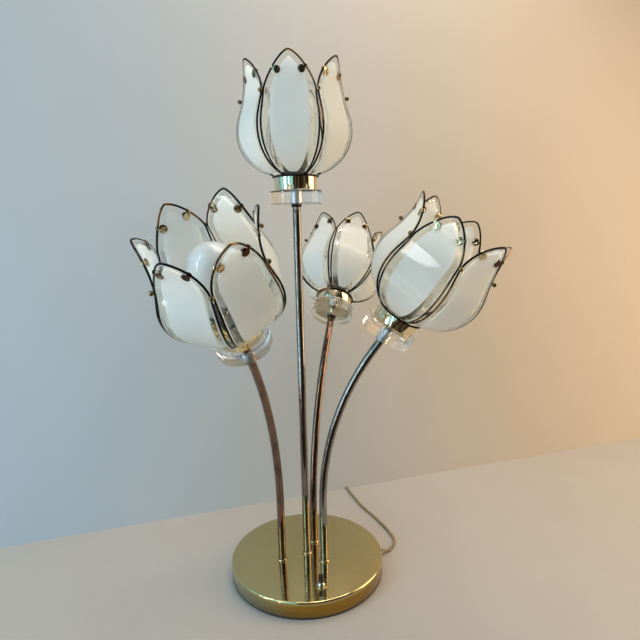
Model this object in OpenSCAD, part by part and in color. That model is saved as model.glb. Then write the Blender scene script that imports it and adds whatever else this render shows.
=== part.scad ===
// Bouquet table lamp: four glass lotus flowers on brass stems over a round weighted base.
// The origin is on the table under the middle of the base, +Z up and +Y towards the lamp's back.
// Each flower is drawn upright on its own axis, with zero at the underside of its clear disc.

/* [Base] */
// Diameter of the round pan
base_d = 254; // [240:1:280]
// Height of the pan's wall
base_h = 25; // [23:0.5:34]
// Thickness of the pan's sheet
base_wall = 1.2; // [0.8:0.1:1.8]
// Outer radius of the pan's top edge
base_edge_r = 3; // [2:0.5:5]
// Thickness of the felt pad
felt_t = 3; // [2:0.5:6]
// Thickness of the cast iron weight
weight_t = 12; // [8:0.5:14]
// Opening in the middle of the weight
weight_bore_d = 124; // [118:1:130]
// Gap between the weight and the pan's wall
weight_gap = 3; // [1:0.5:6]

/* [Switch] */
// Distance of the switch from the pan's edge
switch_in = 35; // [24:1:46]
// Direction of the switch on the base
switch_az = -77.5; // [-100:0.5:-60]
// Diameter of the switch housing under the pan
switch_body_d = 22; // [18:0.5:24]
// Height of the switch housing
switch_body_h = 16; // [12:0.5:18]
// Outer diameter of the switch's threaded neck
switch_neck_d = 8; // [7:0.25:9]
// Height of the round nut on the switch's neck
switch_nut_h = 5.5; // [4:0.5:8]
// Diameter of the round nut
switch_nut_d = 11.6; // [10.5:0.1:14]
// Diameter of the washer under the round nut
switch_washer_d = 18; // [15:0.5:24]
// Diameter of the knob
knob_d = 8.4; // [7:0.2:12]
// Height of the knob
knob_h = 12.5; // [9:0.5:18]
// Diameter of the knob's shaft
knob_shaft_d = 3.6; // [3:0.2:4.4]

/* [Stems] */
// Outer diameter of the stem tubes
stem_d = 12.7; // [12:0.1:14]
// Wall of the stem tubes
stem_wall = 1.5; // [1:0.1:1.8]
// Length of the straight centre stem
centre_stem_l = 576; // [480:1:640]
// Straight length at the foot of the left and right stems
riser_l = 95; // [60:1:120]
// Straight length at the foot of the back stem
back_riser_l = 42; // [34:1:90]
// Radius of a curved stem's bend
bend_r = 455; // [380:5:560]
// Bend of the left stem
left_bend = 34; // [28:0.5:38]
// Bend of the right stem
right_bend = 35.5; // [28:0.5:38]
// Bend of the back stem
back_bend = 40; // [32:0.5:44]
// Straight length at the top of the left stem
left_tail_l = 42; // [25:1:60]
// Straight length at the top of the right stem
right_tail_l = 30; // [20:1:60]
// Straight length at the top of the back stem
back_tail_l = 54; // [20:1:70]
// Distance of the left stem's foot from the middle
left_foot_r = 44.5; // [36:0.5:48]
// Distance of the right stem's foot from the middle
right_foot_r = 37.5; // [34:0.5:48]
// Distance of the back stem's foot from the middle
back_foot_r = 35; // [32:0.5:48]
// Diameter of the ring round each stem's foot
ferrule_d = 17; // [15:0.5:22]
// Height of the ring round each stem's foot
ferrule_h = 3; // [2:0.5:6]
// Diameter of the threaded pipe that joins the pieces
nipple_d = 9.6; // [8.5:0.1:9.6]
// Bore of the threaded pipe
nipple_bore_d = 6.5; // [5.5:0.1:6.8]
// Width of the hexagon nuts across their corners
hexnut_d = 17; // [14.5:0.5:18]
// Thickness of the hexagon nuts
hexnut_h = 3.6; // [3:0.2:5]
// Diameter of the washers under the pan
washer_d = 24; // [20:0.5:28]
// Thickness of the washers under the pan
washer_t = 1.6; // [1:0.2:3]

/* [Flowers] */
// Diameter of the dark collar under each clear disc
collar_d = 16; // [14.5:0.5:22]
// Thickness of the dark collar
collar_t = 4; // [2:0.5:8]
// Diameter of the clear disc
disc_d = 79; // [72:0.5:90]
// Thickness of the clear disc
disc_t = 20; // [14:0.5:26]
// Chamfer on the clear disc's edges
disc_chamfer = 0.8; // [0.4:0.1:2]
// Outer diameter of the polished cup
cup_d = 65; // [62:0.5:66]
// Height of the polished cup
cup_h = 22; // [18:0.5:26]
// Sheet thickness of the polished cup
cup_wall = 1; // [0.6:0.1:1.6]
// Diameter of the petal wires
wire_d = 2.8; // [2:0.1:3]
// Diameter of the wire ring on the cup
ring_wire_d = 3; // [2.4:0.1:3.6]
// Thickness of the petal glass
glass_t = 3; // [2:0.25:4]
// Gap between the glass edge and its wire
glass_gap = 0.3; // [0.2:0.05:0.6]
// Widest distance of a petal from the flower's axis
bulge_r = 75.3; // [70:0.1:82]
// Height of the widest place above the cup's rim
bulge_h = 62; // [58:0.5:66]
// Radius of the petal's upper bend
upper_bend_r = 73; // [64:1:80]
// Inward lean of the petal over its bulge
waist_lean = 16.5; // [13:0.5:19]
// Height where the petal starts to turn out, above its widest place
turn_out_h = 36; // [28:1:42]
// Radius of the outward turn at the petal's tip
tip_bend_r = 77; // [68:1:100]
// Height of the petal's tip above its widest place
tip_h = 95; // [86:1:104]
// Height of the joint beads above the widest place
bead_h = 46; // [40:1:52]
// Diameter of the joint beads
bead_d = 6.4; // [5:0.2:8]
// Extra gap between neighbouring wires at the bulge
pair_gap = 3.2; // [2:0.2:5]
// Diameter of the round clip plates
clip_d = 10.4; // [8:0.2:13]
// Thickness of the clip plates
clip_t = 0.8; // [0.6:0.1:1.2]
// Height of the clips below the petal's tip
clip_drop = 19; // [16:0.5:24]

/* [Lampholders] */
// Outer diameter of the lampholder
holder_d = 38; // [36:0.5:42]
// Length of the lampholder
holder_l = 48; // [42:1:60]
// Height of the lampholder's foot above the clear disc's underside
holder_z = 32; // [28:0.5:38]
// Outer diameter of the bulb's screw cap
cap_d = 26.4; // [25:0.1:27]
// Length of the bulb's screw cap
cap_l = 25; // [22:0.5:30]
// Length of the screw cap inside the lampholder
cap_in_l = 22; // [18:0.5:24]
// Diameter of the bulb's globe
bulb_d = 62; // [56:0.5:68]
// Height of the globe's middle above the screw cap
globe_h = 53; // [48:0.5:58]

/* [Cord] */
// Width of the flat twin cord
cord_w = 5.3; // [4.6:0.1:6]
// Height of the flat twin cord
cord_t = 2.8; // [2.4:0.1:3.2]
// Height of the cord's hole in the pan above the table
cord_hole_z = 9; // [8:0.5:11]
// Diameter of the cord's hole in the pan
cord_hole_d = 9; // [8:0.5:10]
// Turns in the put away coil
coil_turns = 7.25; // [7.25:1:8.25]
// Innermost radius of the coil
coil_in_r = 21; // [19:0.5:26]
// Distance between neighbouring turns
coil_pitch = 5.8; // [5.8:0.1:6.4]
// Height between the coil's two layers
coil_step = 3.3; // [3.3:0.1:4]

/* [Hidden] */
$fn = 64;
// Overshoot of cutting shapes
cut = 1;
// Gap kept between pieces that lie close
seat = 0.3;
// Direction in which the cord leaves the base
cord_az = 11;
// Radial gap of a shaft that turns in its neck
run = 0.05;

// Heights in the base
plate_z = felt_t + base_h;
under_z = plate_z - base_wall;
pan_r = base_d / 2;
weight_r = pan_r - base_wall - weight_gap;
switch_r = pan_r - switch_in;

// Stems in the order top, left, right, back: foot, swing of the bend, bend, tail and spin of the flower
TOP = 0;
LEFT = 1;
RIGHT = 2;
BACK = 3;
foot_r = [0, left_foot_r, right_foot_r, back_foot_r];
foot_az = [0, 201.5, -41, 68];
swing_az = [0, 250, -23.5, 71];
bend = [0, left_bend, right_bend, back_bend];
tail_l = [0, left_tail_l, right_tail_l, back_tail_l];
spin = [26, -5, 26, 31.5];
foot_spigot_l = 14;
nipple_grip_l = 14;
nipple_in_holder = 8;

function foot(i) = [foot_r[i] * cos(foot_az[i]), foot_r[i] * sin(foot_az[i])];
// Reach and rise of a stem's top end over its foot
function reach(i) = bend_r * (1 - cos(bend[i])) + tail_l[i] * sin(bend[i]);
function riser(i) = i == BACK ? back_riser_l : riser_l;
function rise(i) = i == TOP ? centre_stem_l : riser(i) + bend_r * sin(bend[i]) + tail_l[i] * cos(bend[i]);
function stem_top(i) = [foot(i)[0] + reach(i) * cos(swing_az[i]),
                        foot(i)[1] + reach(i) * sin(swing_az[i]),
                        plate_z + rise(i)];

// Moves a flower's own frame to the underside of its clear disc
module at_flower(i) {
    translate(stem_top(i)) rotate([0, bend[i], swing_az[i]]) translate([0, 0, collar_t])
        rotate([0, 0, spin[i]]) children();
}

// Heights on a flower's axis
rim_z = disc_t + cup_h;
cup_floor_z = disc_t;
bulge_z = rim_z + bulge_h;
bead_z = bulge_z + bead_h;
tip_z = bulge_z + tip_h;
ring_r = cup_d / 2 + ring_wire_d / 2 + seat;
ring_z = rim_z - ring_wire_d / 2;
wire_start_z = ring_z + ring_wire_d / 2 + wire_d / 2 + seat;
glass_start_z = wire_start_z + 2;
holder_top_z = holder_z + holder_l;
cap_z = holder_top_z - cap_in_l;
globe_z = cap_z + cap_l + globe_h;

// Distance between the middles of two wires that lie side by side
touch = wire_d + 0.3;
// Petal profile seen from the side, as distance from the axis over height; its foot meets the wire ring
petal_foot_r = sqrt(pow(ring_r, 2) - pow(touch / 2, 2)) * cos(30) + touch / 2 * sin(30);
foot_in = bulge_r - petal_foot_r;
lower_bend_r = (pow(foot_in, 2) + pow(bulge_z - wire_start_z, 2)) / (2 * foot_in);
turn_in_z = bulge_z + upper_bend_r * sin(waist_lean);
turn_in_r = bulge_r - upper_bend_r * (1 - cos(waist_lean));
turn_out_z = bulge_z + turn_out_h;
turn_out_r = turn_in_r - (turn_out_z - turn_in_z) * tan(waist_lean);
tip_centre = [turn_out_r + tip_bend_r * cos(waist_lean), turn_out_z + tip_bend_r * sin(waist_lean)];
function lower_arc(z) = bulge_r - lower_bend_r + sqrt(pow(lower_bend_r, 2) - pow(bulge_z - z, 2));
function upper_arc(z) = bulge_r - upper_bend_r + sqrt(pow(upper_bend_r, 2) - pow(z - bulge_z, 2));
function tip_arc(z) = tip_centre[0] - sqrt(pow(tip_bend_r, 2) - pow(z - tip_centre[1], 2));
function petal_r(z) = z <= bulge_z ? lower_arc(z)
                    : z <= turn_in_z ? upper_arc(z)
                    : z <= turn_out_z ? turn_in_r - (z - turn_in_z) * tan(waist_lean)
                    : tip_arc(z);

// Half width of a petal's wire: against its neighbour up to the bead, then drawn in to the tip
function pair_space(z) = touch + pair_gap * sin(180 * (z - wire_start_z) / (bead_z - wire_start_z));
function side_w(z) = (petal_r(z) * sin(30) - pair_space(z) / 2) / cos(30);
// Fullness of the tip: first the flank, then the point
flank = 1.35;
point = 0.66;
function tip_w(z, top, foot_w) = foot_w * pow(1 - pow(min(1, (z - bead_z) / (top - bead_z)), flank), point);
// Height on the tip's outline where its half width is the share u of its foot
function tip_z_at(u, top) = bead_z + (top - bead_z) * pow(1 - pow(u, 1 / point), 1 / flank);

wire_side = [for (k = [0:9]) wire_start_z + (bead_z - wire_start_z) * k / 9];
wire_tip = [for (k = [1:7]) 1 - k / 8];
bead_w = side_w(bead_z);
// One side of a petal's wire, then its tip, then the other side
function wire_half() = concat(
    [for (z = wire_side) [petal_r(z), side_w(z), z]],
    [for (u = wire_tip) let (z = tip_z_at(u, tip_z)) [petal_r(z), bead_w * u, z]]);
function flip(p) = [p[0], -p[1], p[2]];
function wire_path() = let (half = wire_half(), n = len(half)) concat(
    half, [[petal_r(tip_z), 0, tip_z]], [for (k = [n - 1:-1:0]) flip(half[k])]);

// Sweep of a ring of offsets along a path, with frames carried along without twist
function unit(v) = v / norm(v);
function tangent(p, i) = unit(p[min(i + 1, len(p) - 1)] - p[max(i - 1, 0)]);
function carry(n, t) = unit(n - (n * t) * t);
function frames(p, n0) = [for (i = 0, n = carry(n0, tangent(p, 0)); i < len(p);
                               i = i + 1, n = i < len(p) ? carry(n, tangent(p, i)) : n) n];
function ring_points(p, t, n, shape) = let (b = cross(t, n)) [for (s = shape) p + s[0] * n + s[1] * b];
function round_shape(r, sides) = [for (k = [0:sides - 1]) r * [cos(360 * k / sides), sin(360 * k / sides)]];
module sweep(path, shape, normals) {
    m = len(shape);
    n = len(path);
    points = [for (i = [0:n - 1]) each ring_points(path[i], tangent(path, i), normals[i], shape)];
    sides = [for (i = [0:n - 2], k = [0:m - 1])
             each [[i * m + k, i * m + (k + 1) % m, (i + 1) * m + (k + 1) % m],
                   [i * m + k, (i + 1) * m + (k + 1) % m, (i + 1) * m + k]]];
    ends = concat([for (k = [1:m - 2]) [0, k + 1, k]],
                  [for (k = [1:m - 2]) [(n - 1) * m, (n - 1) * m + k, (n - 1) * m + k + 1]]);
    polyhedron(points = points, faces = [for (f = concat(sides, ends)) [f[2], f[1], f[0]]], convexity = 8);
}

// Base
switch_at = [switch_r * cos(switch_az), switch_r * sin(switch_az)];
spigot_hole_d = nipple_d + 0.4;
neck_hole_d = switch_neck_d + 0.4;
felt_d = base_d - 0.6;

module pan_outline(inset) {
    r = pan_r - inset;
    edge = base_edge_r - inset;
    square([r - edge, base_h - inset]);
    square([r, base_h - inset - edge]);
    translate([r - edge, base_h - inset - edge]) circle(r = edge);
}

module cord_hole(d) {
    rotate([0, 0, cord_az]) translate([pan_r, 0, cord_hole_z]) rotate([0, 90, 0])
        cylinder(d = d, h = 2 * (bushing_in_l + base_wall + cut), center = true);
}

module base_shell() {
    color([0.66, 0.58, 0.35]) difference() {
        translate([0, 0, felt_t]) rotate_extrude($fn = 96) pan_outline(0);
        translate([0, 0, felt_t]) rotate_extrude($fn = 96) pan_outline(base_wall);
        translate([0, 0, felt_t - cut]) cylinder(r = pan_r - base_wall, h = cut);
        for (i = [TOP:BACK]) translate([foot(i)[0], foot(i)[1], under_z - cut])
            cylinder(d = spigot_hole_d, h = base_wall + 2 * cut);
        translate([switch_at[0], switch_at[1], under_z - cut])
            cylinder(d = neck_hole_d, h = base_wall + 2 * cut);
        cord_hole(cord_hole_d);
    }
}

// Hole in the weight that leaves room for the switch; the cord passes below the weight
switch_room_d = switch_body_d + 6;
module base_weight() {
    color([0.25, 0.25, 0.26]) difference() {
        translate([0, 0, under_z - weight_t]) cylinder(r = weight_r - base_edge_r, h = weight_t, $fn = 96);
        translate([0, 0, under_z - weight_t - cut]) cylinder(d = weight_bore_d, h = weight_t + 2 * cut);
        translate([switch_at[0], switch_at[1], under_z - weight_t - cut])
            cylinder(d = switch_room_d, h = weight_t + 2 * cut);
    }
}

module felt_pad() {
    color([0.08, 0.08, 0.08]) cylinder(d = felt_d, h = felt_t, $fn = 96);
}

module stem_ferrules() {
    color([0.55, 0.46, 0.3]) for (i = [TOP:BACK])
        translate([foot(i)[0], foot(i)[1], plate_z]) difference() {
            union() {
                cylinder(d = ferrule_d, h = ferrule_h * 0.6);
                translate([0, 0, ferrule_h * 0.6])
                    cylinder(d1 = ferrule_d, d2 = stem_d + 1.6, h = ferrule_h * 0.4);
            }
            translate([0, 0, -cut]) cylinder(d = stem_d + 0.2, h = ferrule_h + 2 * cut);
        }
}

module stem_washers() {
    color([0.72, 0.72, 0.7]) for (i = [TOP:BACK])
        translate([foot(i)[0], foot(i)[1], under_z - washer_t]) difference() {
            cylinder(d = washer_d, h = washer_t);
            translate([0, 0, -cut]) cylinder(d = spigot_hole_d, h = washer_t + 2 * cut);
        }
}

module hexnut() {
    difference() {
        cylinder(d = hexnut_d, h = hexnut_h, $fn = 6);
        translate([0, 0, -cut]) cylinder(d = nipple_d + 0.1, h = hexnut_h + 2 * cut);
    }
}

module stem_locknuts() {
    color([0.78, 0.68, 0.42]) for (i = [TOP:BACK])
        translate([foot(i)[0], foot(i)[1], under_z - washer_t - hexnut_h]) hexnut();
}

// Switch
neck_top_z = plate_z + 1 + switch_nut_h;
knob_z = neck_top_z + 0.6;
shaft_foot_z = under_z - 8;
module switch_housing() {
    color([0.1, 0.1, 0.1]) translate([switch_at[0], switch_at[1], 0]) difference() {
        union() {
            translate([0, 0, under_z - switch_body_h]) cylinder(d = switch_body_d, h = switch_body_h);
            translate([0, 0, under_z - 1]) cylinder(d = switch_neck_d, h = neck_top_z - under_z + 1);
        }
        translate([0, 0, shaft_foot_z - seat]) cylinder(d = knob_shaft_d + 2 * run, h = 60);
    }
}

module switch_nut() {
    color([0.86, 0.84, 0.78]) translate([switch_at[0], switch_at[1], plate_z]) difference() {
        union() {
            cylinder(d = switch_washer_d, h = 1);
            translate([0, 0, 1]) cylinder(d = switch_nut_d, h = switch_nut_h - 2);
            translate([0, 0, switch_nut_h - 1])
                cylinder(d1 = switch_nut_d, d2 = switch_nut_d - 2.4, h = 1.6);
        }
        translate([0, 0, -cut]) cylinder(d = switch_neck_d + 0.1, h = switch_nut_h + 4 * cut);
    }
}

// The grip is narrow across its flats, with a groove down each flat
grip_flat_w = knob_d * 0.62;
module switch_knob() {
    color([0.2, 0.11, 0.07]) translate([switch_at[0], switch_at[1], 0]) {
        translate([0, 0, shaft_foot_z]) cylinder(d = knob_shaft_d, h = knob_z - shaft_foot_z + 1);
        translate([0, 0, knob_z]) difference() {
            union() {
                cylinder(d = knob_d, h = knob_h - 1);
                translate([0, 0, knob_h - 1]) cylinder(d1 = knob_d, d2 = knob_d - 2, h = 1);
            }
            for (side = [-1, 1]) translate([0, side * (grip_flat_w / 2 + 2.2), 3.5])
                cylinder(d = 5.4, h = knob_h);
        }
    }
}

bushing_out_l = 3.5;
bushing_in_l = 6;
bushing_flange_d = cord_hole_d + 3;
// The bushing squeezes the cord by this much on either side
cord_grip = 0.15;
module cord_bushing() {
    color([0.12, 0.1, 0.08]) rotate([0, 0, cord_az]) translate([pan_r, 0, cord_hole_z]) rotate([0, 90, 0])
        difference() {
            union() {
                translate([0, 0, 0.1])
                    cylinder(d1 = bushing_flange_d, d2 = cord_hole_d - 1, h = bushing_out_l);
                translate([0, 0, -base_wall - bushing_in_l])
                    cylinder(d = cord_hole_d - 0.4, h = base_wall + bushing_in_l + 0.2);
            }
            translate([0, 0, -20]) cylinder(d = cord_w - 2 * cord_grip, h = 40);
        }
}

// Three screw-on caps over the joined leads, lying on the felt
splice_d = 11;
splice_l = 20;
module splice_caps() {
    color([0.75, 0.12, 0.1]) for (k = [0:2])
        translate([64, 22 * (k - 1), felt_t + splice_d / 2]) rotate([0, -90, 15 * (k - 1)]) difference() {
            union() {
                cylinder(d1 = splice_d, d2 = splice_d * 0.6, h = splice_l);
                for (a = [0, 180]) rotate([0, 0, a]) translate([0, -1, 0])
                    cube([splice_d / 2 - 0.2, 2, splice_l]);
            }
            translate([0, 0, -cut]) cylinder(d = lead_d + 0.4, h = 10);
        }
}

// Leads from under the pan up to each lampholder
lead_d = 4.6;
lead_low = 21;
// The straight runs are a hair thinner than the bend and reach into it, so that no two skins coincide
hair = 0.04;
lap = 0.5;
module stem_run(i, d, low, high) {
    translate([0, 0, -low]) cylinder(d = d - hair, h = riser(i) + low + lap);
    translate([bend_r, 0, riser(i)]) rotate([90, 0, 0]) rotate([0, 0, 180 - bend[i]])
        rotate_extrude(angle = bend[i], $fn = 128) translate([bend_r, 0]) circle(d = d);
    translate([bend_r * (1 - cos(bend[i])), 0, riser(i) + bend_r * sin(bend[i])]) rotate([0, bend[i], 0])
        translate([0, 0, -lap]) cylinder(d = d - hair, h = lap + tail_l[i] + high);
}
lead_high = collar_t + holder_z + nipple_in_holder + 2;
module stem_leads() {
    color([0.78, 0.7, 0.5]) {
        translate([0, 0, plate_z - lead_low])
            cylinder(d = lead_d, h = lead_low + centre_stem_l + lead_high);
        for (i = [LEFT:BACK]) translate([foot(i)[0], foot(i)[1], plate_z]) rotate([0, 0, swing_az[i]])
            stem_run(i, lead_d, lead_low, lead_high);
    }
}

// Stems
stem_bore_d = stem_d - 2 * stem_wall;
module centre_stem() {
    color([0.62, 0.52, 0.33]) translate([0, 0, plate_z]) difference() {
        union() {
            cylinder(d = stem_d, h = centre_stem_l);
            translate([0, 0, -foot_spigot_l]) cylinder(d = nipple_d, h = foot_spigot_l + 1);
        }
        translate([0, 0, 2]) cylinder(d = stem_bore_d, h = centre_stem_l);
        translate([0, 0, -foot_spigot_l - cut]) cylinder(d = nipple_bore_d, h = foot_spigot_l + 4);
    }
}

module curved_stem(i) {
    color([0.62, 0.52, 0.33]) translate([foot(i)[0], foot(i)[1], plate_z]) rotate([0, 0, swing_az[i]])
        difference() {
            union() {
                stem_run(i, stem_d, 0, 0);
                translate([0, 0, -foot_spigot_l]) cylinder(d = nipple_d, h = foot_spigot_l + 1);
            }
            stem_run(i, stem_bore_d, -2, 1);
            translate([0, 0, -foot_spigot_l - cut]) cylinder(d = nipple_bore_d, h = foot_spigot_l + 4);
        }
}
module left_stem() curved_stem(LEFT);
module right_stem() curved_stem(RIGHT);
module back_stem() curved_stem(BACK);

// Pieces that repeat on every flower
module neck_collars() {
    color([0.16, 0.13, 0.1]) for (i = [TOP:BACK]) at_flower(i) translate([0, 0, -collar_t]) difference() {
        cylinder(d = collar_d, h = collar_t);
        translate([0, 0, -cut]) cylinder(d = nipple_d + 0.1, h = collar_t + 2 * cut);
    }
}

module flower_nipples() {
    l = nipple_grip_l + collar_t + holder_z + nipple_in_holder;
    color([0.7, 0.62, 0.4]) for (i = [TOP:BACK]) at_flower(i) translate([0, 0, -collar_t - nipple_grip_l])
        difference() {
            cylinder(d = nipple_d, h = l);
            translate([0, 0, -cut]) cylinder(d = nipple_bore_d, h = l + 2 * cut);
        }
}

spacer_d = stem_d;
module disc_spacers() {
    color([0.8, 0.8, 0.8]) for (i = [TOP:BACK]) at_flower(i) difference() {
        cylinder(d = spacer_d, h = disc_t);
        translate([0, 0, -cut]) cylinder(d = nipple_d + 0.1, h = disc_t + 2 * cut);
    }
}

module cup_locknuts() {
    color([0.78, 0.68, 0.42]) for (i = [TOP:BACK])
        at_flower(i) translate([0, 0, cup_floor_z + cup_wall]) hexnut();
}

bead_axis_r = norm([petal_r(bead_z), bead_w]) + wire_d / 2 + bead_d / 2 + 0.1;
module joint_beads() {
    color([0.3, 0.24, 0.16]) for (i = [TOP:BACK]) at_flower(i) for (k = [0:5])
        rotate([0, 0, 60 * k + 30]) translate([bead_axis_r, 0, bead_z]) sphere(d = bead_d, $fn = 32);
}

module acrylic_disc() {
    color([0.9, 0.92, 0.92, 0.4]) difference() {
        union() {
            cylinder(d1 = disc_d - 2 * disc_chamfer, d2 = disc_d, h = disc_chamfer);
            translate([0, 0, disc_chamfer]) cylinder(d = disc_d, h = disc_t - 2 * disc_chamfer);
            translate([0, 0, disc_t - disc_chamfer])
                cylinder(d1 = disc_d, d2 = disc_d - 2 * disc_chamfer, h = disc_chamfer);
        }
        translate([0, 0, -cut]) cylinder(d = spacer_d + 0.2, h = disc_t + 2 * cut);
    }
}

// A plain spun cup with a flat floor, screwed down on the clear disc
module brass_cup() {
    color([0.85, 0.7, 0.35]) translate([0, 0, cup_floor_z]) difference() {
        cylinder(d = cup_d, h = cup_h);
        translate([0, 0, cup_wall]) cylinder(d = cup_d - 2 * cup_wall, h = cup_h);
        translate([0, 0, -cut]) cylinder(d = nipple_d + 0.4, h = cup_wall + 2 * cut);
    }
}

// Petals: a bent strip of glass cut to a leaf outline
module sector(centre, r, t, a0, a1) {
    far = 2.4 * r;
    mid = (a0 + a1) / 2;
    intersection() {
        translate(centre) difference() {
            circle(r = r + t / 2, $fn = 96);
            circle(r = r - t / 2, $fn = 96);
        }
        translate(centre) polygon([[0, 0], far * [cos(a0), sin(a0)], far * [cos(mid), sin(mid)],
                                   far * [cos(a1), sin(a1)]]);
    }
}
lower_span = asin((bulge_z - glass_start_z) / lower_bend_r);
tip_span = asin((tip_z - tip_centre[1]) / tip_bend_r);
straight_l = (turn_out_z - turn_in_z) / cos(waist_lean);
module petal_strip() {
    sector([bulge_r - lower_bend_r, bulge_z], lower_bend_r, glass_t, -lower_span, 0);
    sector([bulge_r - upper_bend_r, bulge_z], upper_bend_r, glass_t, 0, waist_lean);
    translate([turn_in_r, turn_in_z]) rotate(waist_lean) translate([-glass_t / 2, -0.01])
        square([glass_t, straight_l + 0.02]);
    sector(tip_centre, tip_bend_r, glass_t, 180 - tip_span, 180 + waist_lean);
}

// The glass edge runs inside the wire's middle line, at this distance square to it over the bent strip
edge_in = wire_d / 2 + glass_gap;
half_wire = wire_half();
last = len(half_wire) - 1;
tip_point = [petal_r(tip_z), 0, tip_z];
function climb(a, b) = norm([b[0] - a[0], b[2] - a[2]]);
function edge_point(p, a, b) = let (up = climb(a, b), l = norm([up, b[1] - a[1]]))
    [p[1] - edge_in * up / l, p[2] + edge_in * (b[1] - a[1]) / l * (b[2] - a[2]) / up];
glass_half = [for (i = [0:last]) edge_point(half_wire[i], half_wire[max(i - 1, 0)],
                                            i < last ? half_wire[i + 1] : tip_point)];
tip_climb = climb(half_wire[last], tip_point);
tip_in = edge_in * norm([tip_climb, half_wire[last][1]]) / half_wire[last][1]
         * (tip_z - half_wire[last][2]) / tip_climb;
module petal_outline() {
    polygon(concat(glass_half, [[0, tip_z - tip_in]],
                   [for (k = [last:-1:0]) [-glass_half[k][0], glass_half[k][1]]]));
}

module petal() {
    intersection() {
        rotate([90, 0, 0]) linear_extrude(2 * bulge_r, center = true) petal_strip();
        rotate([90, 0, 90]) linear_extrude(2 * bulge_r) petal_outline();
    }
}

module petals() {
    color([0.92, 0.93, 0.9, 0.85]) for (k = [0:5]) rotate([0, 0, 60 * k]) petal();
}

module petal_wires() {
    path = wire_path();
    color([0.3, 0.24, 0.16]) {
        for (k = [0:5]) rotate([0, 0, 60 * k])
            sweep(path, round_shape(wire_d / 2, 6), frames(path, [1, 0, 0]));
        translate([0, 0, ring_z]) rotate_extrude($fn = 64) translate([ring_r, 0]) circle(d = ring_wire_d);
    }
}

// Clips: two round plates, one on each face of the glass, on a strap bent round the wire
clip_z = tip_z - clip_drop;
slope_z = 2;
clip_turn = atan(bead_w * (tip_w(clip_z - slope_z, tip_z, 1) - tip_w(clip_z + slope_z, tip_z, 1))
                 / (2 * slope_z));
clip_reach = clip_d / 2 + wire_d / 2 + 0.1;
clip_face = glass_t / 2 + seat;
// The plates lie flat on the glass at their own middle, inside the wire
grip_w = bead_w * tip_w(clip_z, tip_z, 1) - clip_reach * cos(clip_turn);
grip_z = clip_z - clip_reach * sin(clip_turn);
grip_lean = asin((grip_z - tip_centre[1]) / tip_bend_r);
strap_w = 4.2;
module clip() {
    for (side = [0, 1]) mirror([side, 0, 0]) translate([clip_face, 0, 0]) rotate([0, 90, 0])
        cylinder(d = clip_d, h = clip_t);
    for (side = [0, 1]) mirror([side, 0, 0]) translate([clip_face, 0, -strap_w / 2])
        cube([clip_t, clip_reach, strap_w]);
    translate([0, clip_reach, -strap_w / 2]) difference() {
        cylinder(r = clip_face + clip_t, h = strap_w, $fn = 32);
        translate([0, 0, -cut]) cylinder(r = clip_face, h = strap_w + 2 * cut, $fn = 32);
        translate([-10, -20, -cut]) cube([20, 20, strap_w + 2 * cut]);
    }
}

module petal_clips() {
    color([0.5, 0.4, 0.22]) for (k = [0:5], side = [0, 1]) rotate([0, 0, 60 * k]) mirror([0, side, 0])
        translate([petal_r(grip_z), grip_w, grip_z])
            rotate([0, grip_lean, 0]) rotate([clip_turn, 0, 0]) clip();
}

// Lampholder: a moulded foot that screws on the threaded pipe, and a body with the cap's bore
holder_foot_l = 10;
holder_foot_d = 30;
module lampholder() {
    color([0.09, 0.08, 0.08]) translate([0, 0, holder_z]) difference() {
        union() {
            cylinder(d = holder_foot_d, h = holder_foot_l);
            translate([0, 0, holder_foot_l - 4]) cylinder(d1 = holder_foot_d - 2, d2 = holder_d, h = 6);
            translate([0, 0, holder_foot_l + 2]) cylinder(d = holder_d, h = holder_l - holder_foot_l - 2);
        }
        translate([0, 0, -cut]) cylinder(d = nipple_d + 2 * seat, h = nipple_in_holder + 0.2 + cut);
        translate([0, 0, holder_l - cap_in_l - seat])
            cylinder(d = cap_d + 2 * seat, h = cap_in_l + seat + cut);
        translate([0, 0, nipple_in_holder]) cylinder(d = nipple_bore_d, h = 4);
    }
}

// Bulb: glass globe on a drawn neck, and its screw cap with a button contact
neck_r = cap_d / 2 - 1;
neck_top_r = bulb_d / 2 - 4;
cap_contact_l = 3;
module bulb() {
    join_z = sqrt(pow(bulb_d / 2, 2) - pow(neck_top_r, 2));
    color([0.97, 0.96, 0.93]) translate([0, 0, globe_z]) {
        sphere(d = bulb_d, $fn = 64);
        translate([0, 0, -globe_h]) cylinder(r1 = neck_r, r2 = neck_top_r, h = globe_h - join_z);
    }
}

module bulb_cap() {
    color([0.8, 0.76, 0.66]) translate([0, 0, cap_z]) {
        cylinder(d1 = 9, d2 = 14, h = cap_contact_l);
        translate([0, 0, cap_contact_l]) cylinder(d = cap_d, h = cap_l - cap_contact_l);
    }
}

// Cord: points on the floor are chosen by eye, each is the middle of the flat cord
coil_az = 15;
coil_centre = [39, 314];
coil_lift = 1;
coil_out_r = coil_in_r + coil_pitch * coil_turns / 2;
coil_low_z = coil_lift + cord_t / 2;
coil_high_z = coil_low_z + coil_step;
exit_dir = [cos(cord_az), sin(cord_az), 0];
function on_exit(r, z) = [r * exit_dir[0], r * exit_dir[1], z];
cord_start = on_exit(pan_r - base_wall - bushing_in_l, cord_hole_z);
cord_out = on_exit(pan_r + bushing_out_l + 2, cord_hole_z);
cord_points = [[139, 29, 5.4], [147, 36, 2.6], [155, 46, 1.5], [160, 58, 1.5], [161, 72, 1.5],
               [158, 88, 1.5], [152, 108, 1.5], [144, 130, 1.5], [133, 157, 1.5], [122, 180, 1.5],
               [113, 203, 1.5], [105, 229, 1.5], [98, 253, 1.5], [92, 275, 1.5], [87, 293, 1.8]];
function coil_dir(az) = [-sin(az), cos(az), 0];
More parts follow.
